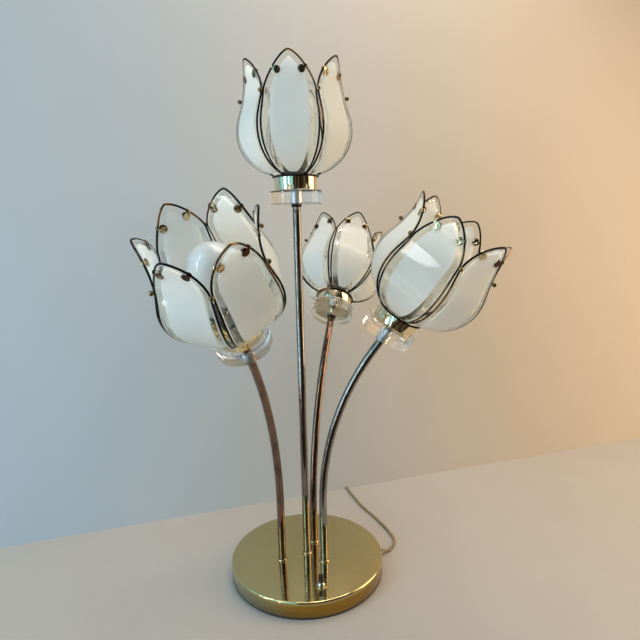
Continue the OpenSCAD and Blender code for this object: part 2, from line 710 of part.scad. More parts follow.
// The innermost turn is drawn in while it climbs, clear of the turns below and above it
coil_dip = 3.4;
function dip(x) = abs(x) < 0.5 ? coil_dip * (0.5 + 0.5 * cos(360 * x)) : 0;
function coil_r(n) = let (x = n - coil_turns / 2) coil_in_r + coil_pitch * sqrt(x * x + 0.01) - dip(x);
function coil_z(n) = let (m = coil_turns / 2) n < m - 0.25 ? coil_low_z
    : n > m + 0.25 ? coil_high_z
    : coil_low_z + coil_step * (0.5 - 0.5 * cos(360 * (n - m + 0.25)));
function coil_point(n) = let (a = coil_az + 360 * n, r = coil_r(n))
    [coil_centre[0] + r * cos(a), coil_centre[1] + r * sin(a), coil_z(n)];
coil_end_az = coil_az + 360 * coil_turns;
coil_begin = coil_point(0) - cord_w * coil_dir(coil_az);
coil_finish = coil_point(coil_turns) + cord_w * coil_dir(coil_end_az);
loop_rings = 24;
coil_path = concat([coil_begin, coil_begin + 0.5 * cord_w * coil_dir(coil_az)],
                   [for (k = [0:coil_turns * loop_rings]) coil_point(k / loop_rings)],
                   [coil_finish - 0.5 * cord_w * coil_dir(coil_end_az), coil_finish]);
cord_path_points = concat([cord_start, cord_out], cord_points,
                          [coil_begin - 8 * coil_dir(coil_az), coil_begin]);

// A smooth curve through the points, one extra ring between each two
function at(p, i) = p[max(0, min(len(p) - 1, i))];
function between(p, i) = (9 * (at(p, i) + at(p, i + 1)) - at(p, i - 1) - at(p, i + 2)) / 16;
function smooth(p) = [for (i = [0:len(p) - 1], h = [0, 1]) if (i < len(p) - 1 || h == 0)
                      h == 0 ? p[i] : between(p, i)];
function path_l(p) = len(p) < 2 ? 0 : [for (i = 1, s = norm(p[1] - p[0]); i < len(p);
                      i = i + 1, s = s + (i < len(p) ? norm(p[i] - p[i - 1]) : 0)) s][len(p) - 2];
function level(p) = [for (i = [0:len(p) - 1]) let (t = tangent(p, i)) unit(cross(t, [0, 0, 1]))];

// Section of the flat cord: across, then up
cord_section = [for (k = [0:9]) let (a = 36 * k) [cord_w / 2 * pow(abs(cos(a)), 0.7) * sign(cos(a)),
                                                 cord_t / 2 * pow(abs(sin(a)), 0.6) * sign(sin(a))]];
coil_section = [[cord_w / 2, 0], [cord_w * 0.32, cord_t / 2], [-cord_w * 0.32, cord_t / 2],
                [-cord_w / 2, 0], [-cord_w * 0.32, -cord_t / 2], [cord_w * 0.32, -cord_t / 2]];

module cord() {
    path = smooth(cord_path_points);
    color([0.75, 0.6, 0.28]) sweep(path, cord_section, level(path));
}

module cord_coil() {
    color([0.75, 0.6, 0.28]) sweep(coil_path, coil_section, level(coil_path));
}

// The plug lies beside the coil, its flat side on the floor
plug_l = 27;
plug_w = 23;
plug_h = 11;
plug_neck_l = 11;
tail_dir = coil_dir(coil_end_az);
plug_at = coil_finish + 40 * tail_dir;
plug_z = plug_h / 2;
tail_end = [plug_at[0], plug_at[1], plug_z];
tail_points = [coil_finish, coil_finish + 6 * tail_dir,
               [coil_finish[0], coil_finish[1], 4.8] + 15 * tail_dir,
               [coil_finish[0], coil_finish[1], 4.6] + 25 * tail_dir,
               tail_end - 6 * tail_dir, tail_end];
module cord_tail() {
    path = smooth(tail_points);
    color([0.75, 0.6, 0.28]) sweep(path, cord_section, level(path));
}

module at_plug() translate(tail_end) rotate([0, 0, coil_end_az + 90]) children();
module plug_body() {
    color([0.72, 0.58, 0.3]) at_plug() difference() {
        union() {
            rotate([0, 90, 0]) cylinder(d1 = 8, d2 = plug_h - 0.4, h = plug_neck_l);
            translate([plug_neck_l, -plug_w / 2, -plug_h / 2]) cube([plug_l - plug_neck_l, plug_w, plug_h]);
            translate([plug_neck_l - 5, 0, -plug_h / 2])
                linear_extrude(plug_h) polygon([[0, -6], [6, -plug_w / 2], [6, plug_w / 2], [0, 6]]);
        }
        for (side = [-1, 1]) translate([plug_l - 3, side * blade_gap / 2 - blade_t / 2, -blade_w / 2])
            cube([4, blade_t, blade_w]);
    }
}
blade_gap = 12.7;
blade_t = 1.5;
blade_w = 6.3;
blade_l = 15.5;
module plug_blades() {
    color([0.82, 0.74, 0.5]) at_plug() for (side = [-1, 1])
        translate([plug_l - 3, side * blade_gap / 2 - blade_t / 2, -blade_w / 2])
            cube([3 + blade_l, blade_t, blade_w]);
}

// A flat band round all the turns at one place
tie_w = 9;
tie_t = 0.7;
tie_az = 60;
module coil_tie() {
    in_r = coil_in_r - cord_w / 2 - seat;
    out_r = coil_out_r + cord_w / 2 + seat + 0.2;
    high = coil_high_z + cord_t / 2 + seat;
    color([0.1, 0.1, 0.1]) translate([coil_centre[0], coil_centre[1], 0]) rotate([0, 0, tie_az])
        translate([0, -tie_w / 2, 0]) difference() {
            translate([in_r - tie_t - 0.4, 0, 0])
                cube([out_r - in_r + 2 * tie_t + 0.4, tie_w, high + tie_t]);
            translate([in_r - 0.4, -cut, tie_t])
                cube([out_r - in_r + 0.4, tie_w + 2 * cut, high - tie_t]);
        }
}

coil_gap = min([for (k = [0:2:len(coil_path) - 1], j = [k + 12:1:len(coil_path) - 1])
                let (d = coil_path[j] - coil_path[k], flat = norm([d[0], d[1]]) - cord_w)
                max(flat, abs(d[2]) - cord_t)]);
echo(coil_gap = coil_gap, cord_l = path_l(smooth(cord_path_points)), coil_l = path_l(coil_path),
     tail_l = path_l(smooth(tail_points)));
echo(tops = [for (i = [TOP:BACK]) stem_top(i)], feet = [for (i = [TOP:BACK]) foot(i)]);
echo(lower_bend_r = lower_bend_r, switch_at = switch_at, cap_z = cap_z, globe_z = globe_z,
     holder_top_z = holder_top_z);
echo(total = path_l(smooth(cord_path_points)) + path_l(coil_path) + path_l(smooth(tail_points)),
     top = plate_z + centre_stem_l + collar_t + tip_z, begin = coil_begin, finish = coil_finish);

base_shell();
base_weight();
felt_pad();
stem_ferrules();
stem_washers();
stem_locknuts();
switch_housing();
switch_nut();
switch_knob();
cord_bushing();
splice_caps();
stem_leads();
centre_stem();
left_stem();
right_stem();
back_stem();
neck_collars();
flower_nipples();
disc_spacers();
cup_locknuts();
joint_beads();
at_flower(TOP) acrylic_disc();  // top_disc
at_flower(LEFT) acrylic_disc();  // left_disc
at_flower(RIGHT) acrylic_disc();  // right_disc
at_flower(BACK) acrylic_disc();  // back_disc
at_flower(TOP) brass_cup();  // top_cup
at_flower(LEFT) brass_cup();  // left_cup
at_flower(RIGHT) brass_cup();  // right_cup
at_flower(BACK) brass_cup();  // back_cup
at_flower(TOP) petals();  // top_petals
at_flower(LEFT) petals();  // left_petals
at_flower(RIGHT) petals();  // right_petals
at_flower(BACK) petals();  // back_petals
at_flower(TOP) petal_wires();  // top_petal_wires
at_flower(LEFT) petal_wires();  // left_petal_wires
at_flower(RIGHT) petal_wires();  // right_petal_wires
at_flower(BACK) petal_wires();  // back_petal_wires
at_flower(TOP) petal_clips();  // top_petal_clips
at_flower(LEFT) petal_clips();  // left_petal_clips
at_flower(RIGHT) petal_clips();  // right_petal_clips
at_flower(BACK) petal_clips();  // back_petal_clips
at_flower(TOP) lampholder();  // top_lampholder
at_flower(LEFT) lampholder();  // left_lampholder
at_flower(RIGHT) lampholder();  // right_lampholder
at_flower(BACK) lampholder();  // back_lampholder
at_flower(TOP) bulb();  // top_bulb
at_flower(LEFT) bulb();  // left_bulb
at_flower(RIGHT) bulb();  // right_bulb
at_flower(BACK) bulb();  // back_bulb
at_flower(TOP) bulb_cap();  // top_bulb_cap
at_flower(LEFT) bulb_cap();  // left_bulb_cap
at_flower(RIGHT) bulb_cap();  // right_bulb_cap
at_flower(BACK) bulb_cap();  // back_bulb_cap
cord();
cord_tail();
cord_coil();
coil_tie();
plug_body();
plug_blades();
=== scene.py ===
import bpy
import math
from mathutils import Matrix, Vector
from mathutils.geometry import interpolate_bezier


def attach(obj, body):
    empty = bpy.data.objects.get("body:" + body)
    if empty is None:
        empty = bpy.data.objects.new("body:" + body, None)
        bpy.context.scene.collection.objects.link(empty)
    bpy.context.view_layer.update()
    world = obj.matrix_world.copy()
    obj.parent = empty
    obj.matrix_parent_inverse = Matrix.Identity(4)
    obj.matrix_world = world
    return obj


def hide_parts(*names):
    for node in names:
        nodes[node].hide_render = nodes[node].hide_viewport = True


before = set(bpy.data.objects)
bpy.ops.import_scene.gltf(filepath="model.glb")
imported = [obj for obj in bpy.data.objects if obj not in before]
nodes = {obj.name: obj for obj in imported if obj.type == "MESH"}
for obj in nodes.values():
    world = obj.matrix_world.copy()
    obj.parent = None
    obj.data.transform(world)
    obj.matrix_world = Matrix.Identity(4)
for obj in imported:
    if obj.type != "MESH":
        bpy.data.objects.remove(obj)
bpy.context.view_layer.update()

# The view: a photographer stands a step in front of the table, with the camera
# a little under the top flower and tilted down to take in the whole base.
scene = bpy.context.scene
scene.view_settings.view_transform = "Standard"
turn_right, look_down, tip_over = (math.radians(a) for a in (2.16, 9.69, -1.40))
ahead = Vector((math.sin(turn_right) * math.cos(look_down),
                math.cos(turn_right) * math.cos(look_down), -math.sin(look_down)))
level = Vector((math.cos(turn_right), -math.sin(turn_right), 0))
upward = level.cross(ahead)
across = math.cos(tip_over) * level + math.sin(tip_over) * upward
over = -math.sin(tip_over) * level + math.cos(tip_over) * upward
photo_width, photo_focus, film_width = 640, 537.9, 36
bpy.ops.object.camera_add(location=(0, -0.8379, 0.5715))
camera = bpy.context.object
camera.rotation_euler = Matrix((across, over, -ahead)).transposed().to_euler()
camera.data.lens = photo_focus / photo_width * film_width
scene.camera = camera

# The cord: flat twin lead of clear gold vinyl over copper strands, 5.3 mm wide. It leaves the right of the
# base, bends round on the table and runs to the wall. What the photograph doesn't show of its 1.8 m is put
# away behind the wall as a coil in two layers, held by a strap, with the plug beside it.
cord_width, cord_height = 0.0053, 0.0028
cord_leaves_at = math.radians(11)
base_radius = 0.127


def out_of_base(distance, height):
    return Vector((distance * math.cos(cord_leaves_at), distance * math.sin(cord_leaves_at), height))


cord_route = [out_of_base(base_radius - 0.0072, 0.009), out_of_base(base_radius + 0.0055, 0.009)]
cord_route += [Vector(p) / 1000 for p in (
    (139, 29, 5.4), (147, 36, 2.6), (155, 46, 1.5), (160, 58, 1.5), (161, 72, 1.5), (158, 88, 1.5),
    (152, 108, 1.5), (144, 130, 1.5), (133, 157, 1.5), (122, 180, 1.5), (113, 203, 1.5), (105, 229, 1.5),
    (98, 253, 1.5), (92, 275, 1.5), (87, 293, 1.8))]
coil_middle = Vector((0.039, 0.314, 0))
coil_inner, coil_pitch, coil_turns, coil_start = 0.021, 0.0058, 7.25, 15
coil_low, coil_step = 0.0024, 0.0033


def coil_point(turn):
    from_middle = turn - coil_turns / 2
    drawn_in = 0.0034 * (0.5 + 0.5 * math.cos(2 * math.pi * from_middle)) if abs(from_middle) < 0.5 else 0
    radius = coil_inner + coil_pitch * math.sqrt(from_middle ** 2 + 0.01) - drawn_in
    climbed = min(1, max(0, 0.5 + 2 * from_middle))
    height = coil_low + coil_step * (0.5 - 0.5 * math.cos(math.pi * climbed))
    angle = math.radians(coil_start + 360 * turn)
    return coil_middle + Vector((radius * math.cos(angle), radius * math.sin(angle), height))


def coil_heading(turn):
    angle = math.radians(coil_start + 360 * turn)
    return Vector((-math.sin(angle), math.cos(angle), 0))


coil_in = coil_point(0) - cord_width * coil_heading(0)
coil_out = coil_point(coil_turns) + cord_width * coil_heading(coil_turns)
tail_way = coil_heading(coil_turns)
plug_at = coil_out + 0.040 * tail_way
plug_at.z = 0.0055
cord_route += [coil_in - 0.008 * coil_heading(0), coil_in]
cord_route += [coil_point(n / 24) for n in range(0, int(coil_turns * 24) + 1)]
low_tail = Vector((coil_out.x, coil_out.y, 0))
cord_route += [coil_out, coil_out + 0.006 * tail_way, low_tail + 0.015 * tail_way + Vector((0, 0, 0.0048)),
               low_tail + 0.025 * tail_way + Vector((0, 0, 0.0046)), plug_at - 0.006 * tail_way, plug_at]


def as_mesh(line):
    """Turns a finished curve object into a mesh."""
    bpy.ops.object.select_all(action="DESELECT")
    line.select_set(True)
    bpy.context.view_layer.objects.active = line
    bpy.ops.object.convert(target="MESH")
    return bpy.context.object


cord_line = bpy.data.curves.new("cord", "CURVE")
cord_line.dimensions = "3D"
cord_line.twist_mode = "Z_UP"
spline = cord_line.splines.new("BEZIER")
spline.bezier_points.add(len(cord_route) - 1)
for knot, place in zip(spline.bezier_points, cord_route):
    knot.co = place
    knot.handle_left_type = knot.handle_right_type = "AUTO"
spline.resolution_u = 3
cord_section = bpy.data.curves.new("cord section", "CURVE")
lobes = cord_section.splines.new("POLY")
lobe_radius = cord_height / 2
lobe_middle = cord_width / 2 - lobe_radius
outline = []
for k in range(9):
    angle = math.radians(-112 + 28 * k)
    outline.append((lobe_middle + lobe_radius * math.cos(angle), lobe_radius * math.sin(angle)))
outline += [(0, 0.75 * lobe_radius)] + [(-x, -y) for x, y in outline] + [(0, -0.75 * lobe_radius)]
lobes.points.add(len(outline) - 1)
for corner, (x, y) in zip(lobes.points, outline):
    corner.co = (x, y, 0, 1)
lobes.use_cyclic_u = True
section_holder = bpy.data.objects.new("cord section", cord_section)
scene.collection.objects.link(section_holder)
cord_line.bevel_mode = "OBJECT"
cord_line.bevel_object = section_holder
cord_line.use_fill_caps = True
cord = bpy.data.objects.new("cord_flex", cord_line)
scene.collection.objects.link(cord)
bpy.context.view_layer.update()
cord_path = []
for a, b in zip(spline.bezier_points[:-1], spline.bezier_points[1:]):
    cord_path += interpolate_bezier(a.co, a.handle_right, b.handle_left, b.co, 4)[:-1]
cord_path.append(spline.bezier_points[-1].co.copy())
cord = as_mesh(cord)
bpy.data.objects.remove(section_holder)
points_round, ring_spacing = len(outline), 0.0042
along = cord.data.attributes.new("along", "FLOAT", "POINT")
for k, value in enumerate(along.data):
    value.value = (k // points_round) * ring_spacing
cord.data.polygons.foreach_set("use_smooth", [True] * len(cord.data.polygons))


class Shade:
    """One output in a material: sums on it add the Math nodes that work them out."""

    def __init__(self, tree, socket=None):
        self.tree, self.socket = tree, socket

    def node(self, kind, settings=None, inputs=None, out=0):
        made = self.tree.nodes.new(kind)
        for name, value in (settings or {}).items():
            setattr(made, name, value)
        for name, value in (inputs or {}).items():
            if isinstance(value, Shade):
                self.tree.links.new(value.socket, made.inputs[name])
            else:
                made.inputs[name].default_value = value
        return Shade(self.tree, made.outputs[out])

    def maths(self, operation, first, second):
        return self.node("ShaderNodeMath", {"operation": operation}, {0: first, 1: second})

    def __add__(self, other):
        return self.maths("ADD", self, other)

    def __radd__(self, other):
        return self.maths("ADD", other, self)

    def __sub__(self, other):
        return self.maths("SUBTRACT", self, other)

    def __rsub__(self, other):
        return self.maths("SUBTRACT", other, self)

    def __mul__(self, other):
        return self.maths("MULTIPLY", self, other)

    def __rmul__(self, other):
        return self.maths("MULTIPLY", other, self)

    def clear_steps(self, low, high):
        """0 below low, 1 above high, smooth between."""
        return self.node("ShaderNodeMapRange", {"interpolation_type": "SMOOTHSTEP"},
                         {"Value": self, "From Min": low, "From Max": high})

    def mix(self, low, high):
        """The colour low where this is 0 and high where it is 1."""
        return self.node("ShaderNodeMix", {"data_type": "RGBA"}, {0: self, 6: low, 7: high}, out=2)

    def place(self, scale=(1, 1, 1)):
        """Object coordinates, stretched."""
        where = self.node("ShaderNodeTexCoord", out=3)
        return self.node("ShaderNodeMapping", None, {"Vector": where, "Scale": scale})

    def coordinate(self, axis):
        """One object coordinate: 0 is to the right, 1 is to the back and 2 is up."""
        return self.node("ShaderNodeSeparateXYZ", None, {"Vector": self.place()}, out=axis)

    def noise(self, where, scale, detail, rough=0.5):
        return self.node("ShaderNodeTexNoise", None,
                         {"Vector": where, "Scale": scale, "Detail": detail, "Roughness": rough})

    def speckle(self, scale, detail=3, rough=0.5, stretch=(1, 1, 1)):
        return self.noise(self.place(stretch), scale, detail, rough)

    def bump(self, height, strength, distance):
        return self.node("ShaderNodeBump", None,
                         {"Height": height, "Strength": strength, "Distance": distance})


def new_finish(name, **constants):
    """A material, a Shade to start its nodes from, and its main shader with the constant values set."""
    material = bpy.data.materials.new(name)
    material.use_nodes = True
    surface = material.node_tree.nodes["Principled BSDF"]
    for socket, value in constants.items():
        surface.inputs[socket.replace("_", " ")].default_value = value
    return material, Shade(material.node_tree), surface


def feed(surface, **sources):
    """Links what varies to a shader's sockets and gives the shader's output."""
    for socket, source in sources.items():
        source.tree.links.new(source.socket, surface.inputs[socket.replace("_", " ")])
    return Shade(surface.id_data, surface.outputs[0])


gold_vinyl, paint, surface = new_finish("gold vinyl", Coat_Weight=0.7, Coat_Roughness=0.06,
                                        Specular_IOR_Level=0.5)
strand_waves = 5200
strand_phase = paint.node("ShaderNodeAttribute", {"attribute_name": "along"}, out=2) * strand_waves
strands = paint.node("ShaderNodeMath", {"operation": "SINE"}, {0: strand_phase})
cloudy = paint.speckle(60)
feed(surface, Base_Color=(strands * 0.25 + cloudy * 0.9).mix((0.13, 0.095, 0.035, 1), (0.38, 0.28, 0.10, 1)),
     Roughness=cloudy * 0.2 + 0.28, Normal=paint.bump(strands, 0.15, 0.0002))
cord.data.materials.append(gold_vinyl)
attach(cord, "lamp")
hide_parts("cord", "cord_coil", "cord_tail")

# The table and the backdrop: a plain pale table top, and a pale backdrop that stands on it and leans back,
# clear of the flowers, with painted light on it: a cool window glow on the left, bluest low down, and warm
# lamp light on the right. From behind it can be seen through.


def blend(paint, share, first, second):
    """The first shader where share is 0 and the second where it is 1. The last one made is what shows."""
    made = paint.node("ShaderNodeMixShader", None, {0: share, 1: first, 2: second})
    paint.tree.links.new(made.socket, paint.tree.nodes["Material Output"].inputs["Surface"])
    return made


def see_through(paint, colour):
    """A shader that lets light straight through, tinted."""
    return paint.node("ShaderNodeBsdfTransparent", None, {"Color": colour})


table_middle, table_size = (0, 0.425, -0.0006), (3.0, 1.35, 1, 1)
bpy.ops.object.select_all(action="DESELECT")
bpy.ops.mesh.primitive_plane_add(size=1)
table_top = bpy.context.object
table_top.data.transform(Matrix.Translation(table_middle) @ Matrix.Diagonal(table_size))
table_top.name = "table_top"
pale, paint, surface = new_finish("pale table", Specular_IOR_Level=0.25, Roughness=0.6)
feed(surface, Base_Color=paint.speckle(9, 4).mix((0.46, 0.41, 0.37, 1), (0.50, 0.45, 0.405, 1)))
table_top.data.materials.append(pale)
bpy.ops.mesh.primitive_plane_add(size=1)
room_wall = bpy.context.object
room_wall.name = "room_wall"
wall_foot, wall_turn, wall_lean = (-0.007, 0.250, -0.0006), math.atan(0.264), math.radians(14)
wall_middle, wall_size = (0.2, 0.95, 0), (3.0, 1.9, 1, 1)
room_wall.data.transform(Matrix.Translation(wall_foot) @ Matrix.Rotation(wall_turn, 4, "Z")
                         @ Matrix.Rotation(math.pi / 2 - wall_lean, 4, "X")
                         @ Matrix.Translation(wall_middle) @ Matrix.Diagonal(wall_size))
plaster, paint, surface = new_finish("pale plaster", Specular_IOR_Level=0.2, Roughness=0.8)
trowelled = paint.speckle(3, 4)
# Painted light: the backdrop is bluish low down and cool on the left for the window, and warm on the right
# for lamplight.
window_glow_painted_low = paint.coordinate(2).clear_steps(0.0, 0.7).mix((0.40, 0.485, 0.56, 1), (0.47, 0.485, 0.505, 1))
window_light_painted_side = trowelled.mix(window_glow_painted_low, (0.49, 0.515, 0.535, 1))
lamp_light_painted_side = trowelled.mix((0.58, 0.49, 0.405, 1), (0.61, 0.52, 0.43, 1))
front = feed(surface, Base_Color=paint.coordinate(0).clear_steps(-0.55, 0.65).mix(window_light_painted_side, lamp_light_painted_side))
seen_from_behind = paint.node("ShaderNodeNewGeometry", out=6)
blend(paint, seen_from_behind, front, see_through(paint, (1, 1, 1, 1)))
room_wall.data.materials.append(plaster)

# The light: on the left a tall cool window of three panes with bright gaps between its blinds, on the right
# a warm doorway, a ceiling light, and a high window whose narrow beam falls on the right flower. Metal
# mirrors a room that is darker round the front, and what the camera sees of it, also through glass, is pale.
for name, place, aim, size, watts, colour in (
        ("near pane", (-0.488, -1.080, 0.95), (0.339, -0.433, 0.95), (0.46, 1.9), 3.2, (0.25, 0.71, 1.0)),
        ("middle pane", (-0.827, -0.647, 0.95), (0, 0, 0.95), (0.46, 1.9), 3.2, (0.25, 0.71, 1.0)),
        ("far pane", (-1.166, -0.214, 0.95), (-0.339, 0.433, 0.95), (0.46, 1.9), 3.2, (0.25, 0.71, 1.0)),
        ("low gap", (-0.641, -0.851, 0.75), (0.186, -0.204, 0.75), (0.035, 1.8), 1.4, (0.88, 0.96, 1.0)),
        ("first gap", (-0.835, -0.605, 0.70), (-0.008, 0.042, 0.70), (0.022, 1.9), 1.7, (0.88, 0.96, 1.0)),
        ("second gap", (-0.875, -0.556, 0.80), (-0.047, 0.091, 0.80), (0.035, 1.7), 2.2, (0.88, 0.96, 1.0)),
        ("third gap", (-0.943, -0.467, 0.80), (-0.116, 0.180, 0.80), (0.015, 1.7), 1.0, (0.88, 0.96, 1.0)),
        ("high window", (-0.321, -1.213, 1.165), (0.15, -0.155, 0.535), (0.26, 0.09), 0.016,
         (0.92, 0.97, 1.0)),
        ("doorway", (1.5, 0.0, 0.8), (0, 0, 0.6), (0.9, 1.6), 17, (1.0, 0.76, 0.46)),
        ("ceiling", (0.35, 0.20, 1.9), (0.05, 0.05, 0.4), (1.4, 1.0), 17, (1.0, 0.94, 0.85))):
    bpy.ops.object.light_add(type="AREA", location=place)
    lamp_light = bpy.context.object
    lamp_light.name = name
    lamp_light.rotation_euler = (Vector(aim) - Vector(place)).to_track_quat("-Z", "Y").to_euler()
    lamp_light.data.shape = "RECTANGLE"
    lamp_light.data.size, lamp_light.data.size_y = size
    lamp_light.data.energy = watts
    lamp_light.data.color = colour
    lamp_light.visible_camera = False
    if name == "high window":
        lamp_light.data.spread = math.radians(20)
if scene.world is None:
    scene.world = bpy.data.worlds.new("room")
scene.world.use_nodes = True
room_light = scene.world.node_tree.nodes["Background"]
paint = Shade(scene.world.node_tree)
way = paint.node("ShaderNodeTexCoord")
sideways, depth, height = (paint.node("ShaderNodeSeparateXYZ", None, {"Vector": way}, out=k)
                           for k in range(3))
round_to = paint.maths("ARCTAN2", sideways, 0 - depth)
upright = paint.node("ShaderNodeMapping", None, {"Vector": way, "Scale": (3.2, 3.2, 0.5)})
tall_things = paint.noise(upright, 1.6, 2)
in_the_room = (round_to.clear_steps(-1.75, -1.5) * (1 - round_to.clear_steps(1.45, 1.7))
               * (0.9 - height).clear_steps(0.0, 0.2))
tint = (sideways * 0.5 + 0.5).mix((0.80, 0.92, 1.0, 1), (1.0, 0.88, 0.74, 1))
dim_room = (tall_things - 0.40).clear_steps(0, 0.3).mix((0.03, 0.025, 0.02, 1), (0.30, 0.22, 0.15, 1))
camera_ray, through = (paint.node("ShaderNodeLightPath", out=k) for k in (0, 6))
feed(room_light, Color=(in_the_room * (1 - (camera_ray + through).clear_steps(0, 1))).mix(tint, dim_room))
room_light.inputs["Strength"].default_value = 0.45

# The base: a pan of spun brass 254 mm across, its top edge rolled over at 3 mm, lacquered and worn to an
# olive gold. It stands on a black felt pad, and the cast iron ring, nuts and wiring inside it don't show.


def turned(name, outline, steps):
    """A round piece: half its outline, drawn point by point, spun about the upright axis."""
    bpy.ops.object.select_all(action="DESELECT")
    bpy.ops.mesh.primitive_plane_add(size=0.002)
    piece = bpy.context.object
    piece.name = name
    bpy.ops.object.mode_set(mode="EDIT")
    bpy.ops.mesh.select_all(action="SELECT")
    bpy.ops.mesh.merge(type="CENTER")
    bpy.ops.transform.translate(value=(outline[0][0], 0, outline[0][1]))
    for (r0, z0), (r1, z1) in zip(outline[:-1], outline[1:]):
        bpy.ops.mesh.extrude_region_move(TRANSFORM_OT_translate={"value": (r1 - r0, 0, z1 - z0)})
    bpy.ops.mesh.select_all(action="SELECT")
    bpy.ops.mesh.spin(steps=steps, angle=2 * math.pi, center=(0, 0, 0), axis=(0, 0, 1))
    shut_and_outward()
    bpy.ops.object.shade_smooth_by_angle(angle=math.radians(35))
    return piece


def shut_and_outward():
    """Joins points that lie on each other, turns every face outwards and leaves edit mode."""
    bpy.ops.mesh.select_all(action="SELECT")
    bpy.ops.mesh.remove_doubles(threshold=0.000002)
    bpy.ops.mesh.normals_make_consistent(inside=False)
    bpy.ops.object.mode_set(mode="OBJECT")


def belongs(piece, material, body, slot, *replaced):
    piece.data.materials.append(material)
    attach(piece, body)
    if replaced:
        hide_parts(*replaced)


pan_top, pan_foot, sheet, edge = 0.028, 0.003, 0.0012, 0.003
outline = [(0, pan_top), (base_radius - edge, pan_top)]
outline += [(base_radius - edge + edge * math.sin(a), pan_top - edge + edge * math.cos(a))
            for a in (math.radians(10 * k) for k in range(1, 10))]
outline += [(base_radius, pan_foot + 0.0006), (base_radius - 0.0004, pan_foot),
            (base_radius - sheet, pan_foot), (base_radius - sheet, pan_top - edge),
            (base_radius - edge, pan_top - sheet), (0, pan_top - sheet)]
pan = turned("base_pan", outline, steps=192)
pan_brass, paint, surface = new_finish("worn gold pan", Metallic=1.0, Coat_Weight=0.25, Coat_Roughness=0.08)
mottle = paint.speckle(14, 4, 0.6)
smears = paint.speckle(30, 3, 0.6, stretch=(1, 0.35, 1))
pits = (paint.speckle(420, 2) - 0.66).clear_steps(0, 0.03)
worn = mottle * 0.8 + pits * 0.5
# Painted reflections on the pan's side: greenish grey at the left for the window, darker amber elsewhere for
# the table.
wear_and_painted_table_reflection = worn.mix((0.47, 0.28, 0.04, 1), (0.31, 0.17, 0.02, 1))
side_painted_reflections = paint.coordinate(0).clear_steps(-0.115, -0.01).mix((0.42, 0.43, 0.30, 1), wear_and_painted_table_reflection)
top_gold = worn.mix((0.66, 0.56, 0.28, 1), (0.54, 0.45, 0.21, 1))
feed(surface, Base_Color=paint.coordinate(2).clear_steps(0.020, 0.0268).mix(side_painted_reflections, top_gold),
     Roughness=smears * 0.05 + mottle * 0.04 + 0.05 + pits * 0.2, Normal=paint.bump(mottle, 0.04, 0.0004))
belongs(pan, pan_brass, "lamp", "aged_brass", "base_shell")

felt_radius = base_radius - 0.0003
outline = [(0, 0), (felt_radius - 0.0006, 0), (felt_radius, 0.0006), (felt_radius, 0.0024),
           (felt_radius - 0.0003, 0.003), (0, 0.003)]
pad = turned("felt_pad_edge", outline, steps=160)
black_felt, paint, surface = new_finish("black felt", Sheen_Weight=0.4, Sheen_Roughness=0.6,
                                        Specular_IOR_Level=0.1)
fuzz = paint.speckle(900, 4, 0.7, stretch=(1, 1, 2))
feed(surface, Base_Color=fuzz.mix((0.006, 0.006, 0.006, 1), (0.035, 0.033, 0.031, 1)),
     Roughness=fuzz * 0.1 + 0.88, Normal=paint.bump(fuzz, 0.6, 0.0005))
belongs(pad, black_felt, "lamp", "felt", "felt_pad")

# The switch: a turn switch whose threaded neck comes up through the pan near the front, with a washer, a
# knurled round nut and a dark brown moulded knob with two flats. The knob turns without end on its shaft.


def add_modifier(piece, kind, **settings):
    """A modifier, set and applied at once."""
    bpy.ops.object.select_all(action="DESELECT")
    piece.select_set(True)
    bpy.context.view_layer.objects.active = piece
    made = piece.modifiers.new(kind.lower(), kind)
    for name, value in settings.items():
        setattr(made, name, value)
    bpy.ops.object.modifier_apply(modifier=made.name)


def soften(piece, width, segments, over):
    """Rounds the edges that turn by more than so many degrees."""
    add_modifier(piece, "BEVEL", width=width, segments=segments, limit_method="ANGLE",
                 angle_limit=math.radians(over))


def set_down(piece, place, matrix=None):
    """Moves a piece's mesh, so that the object itself stays at the origin."""
    piece.data.transform(Matrix.Translation(place) @ (matrix or Matrix.Identity(4)))


switch_from_middle, switch_turned_to = 0.092, math.radians(-77.5)
switch_place = switch_from_middle * Vector((math.cos(switch_turned_to), math.sin(switch_turned_to), 0))
nut_hole = 0.0040
outline = [(nut_hole, 0), (0.0089, 0), (0.0090, 0.0003), (0.0087, 0.0009), (nut_hole, 0.0010)]
switch_washer = turned("switch_washer", outline + outline[:1], steps=64)
set_down(switch_washer, switch_place + Vector((0, 0, pan_top)))
nut_foot, nut_top, nut_radius = pan_top + 0.0010, pan_top + 0.0061, 0.0058
outline = [(nut_hole, nut_foot), (nut_radius - 0.0005, nut_foot), (nut_radius, nut_foot + 0.0005),
           (nut_radius, nut_top - 0.0016), (nut_radius - 0.0012, nut_top), (nut_hole, nut_top),
           (nut_hole, nut_foot)]
switch_nut = turned("switch_round_nut", outline, steps=72)
bpy.ops.object.mode_set(mode="EDIT")
bpy.ops.mesh.select_all(action="DESELECT")
bpy.ops.object.mode_set(mode="OBJECT")
for face in switch_nut.data.polygons:
    around = math.degrees(math.atan2(face.center.y, face.center.x)) % 10
    face.select = abs(face.normal.z) < 0.1 and math.hypot(*face.center.xy) > 0.0056 and around < 5
bpy.ops.object.mode_set(mode="EDIT")
bpy.ops.mesh.inset(thickness=0.0001, depth=-0.0002)
bpy.ops.object.mode_set(mode="OBJECT")
set_down(switch_nut, switch_place)
neck_bore, neck_foot, neck_top, thread_height = 0.0021, pan_top - 0.001, pan_top + 0.0068, 0.0003
outline = [(neck_bore, neck_foot), (nut_hole - 0.0002, neck_foot)]
outline += [(nut_hole - 0.0002 * (k % 2), pan_top + thread_height * k) for k in range(22)]
outline += [(nut_hole - 0.0004, neck_top), (neck_bore, neck_top), (neck_bore, neck_foot)]
switch_neck = turned("switch_threaded_neck", outline, steps=40)
set_down(switch_neck, switch_place)
nickel, paint, surface = new_finish("nickel plate", Metallic=1.0)
scuff = paint.speckle(260, 4, 0.65, stretch=(1, 1, 3))
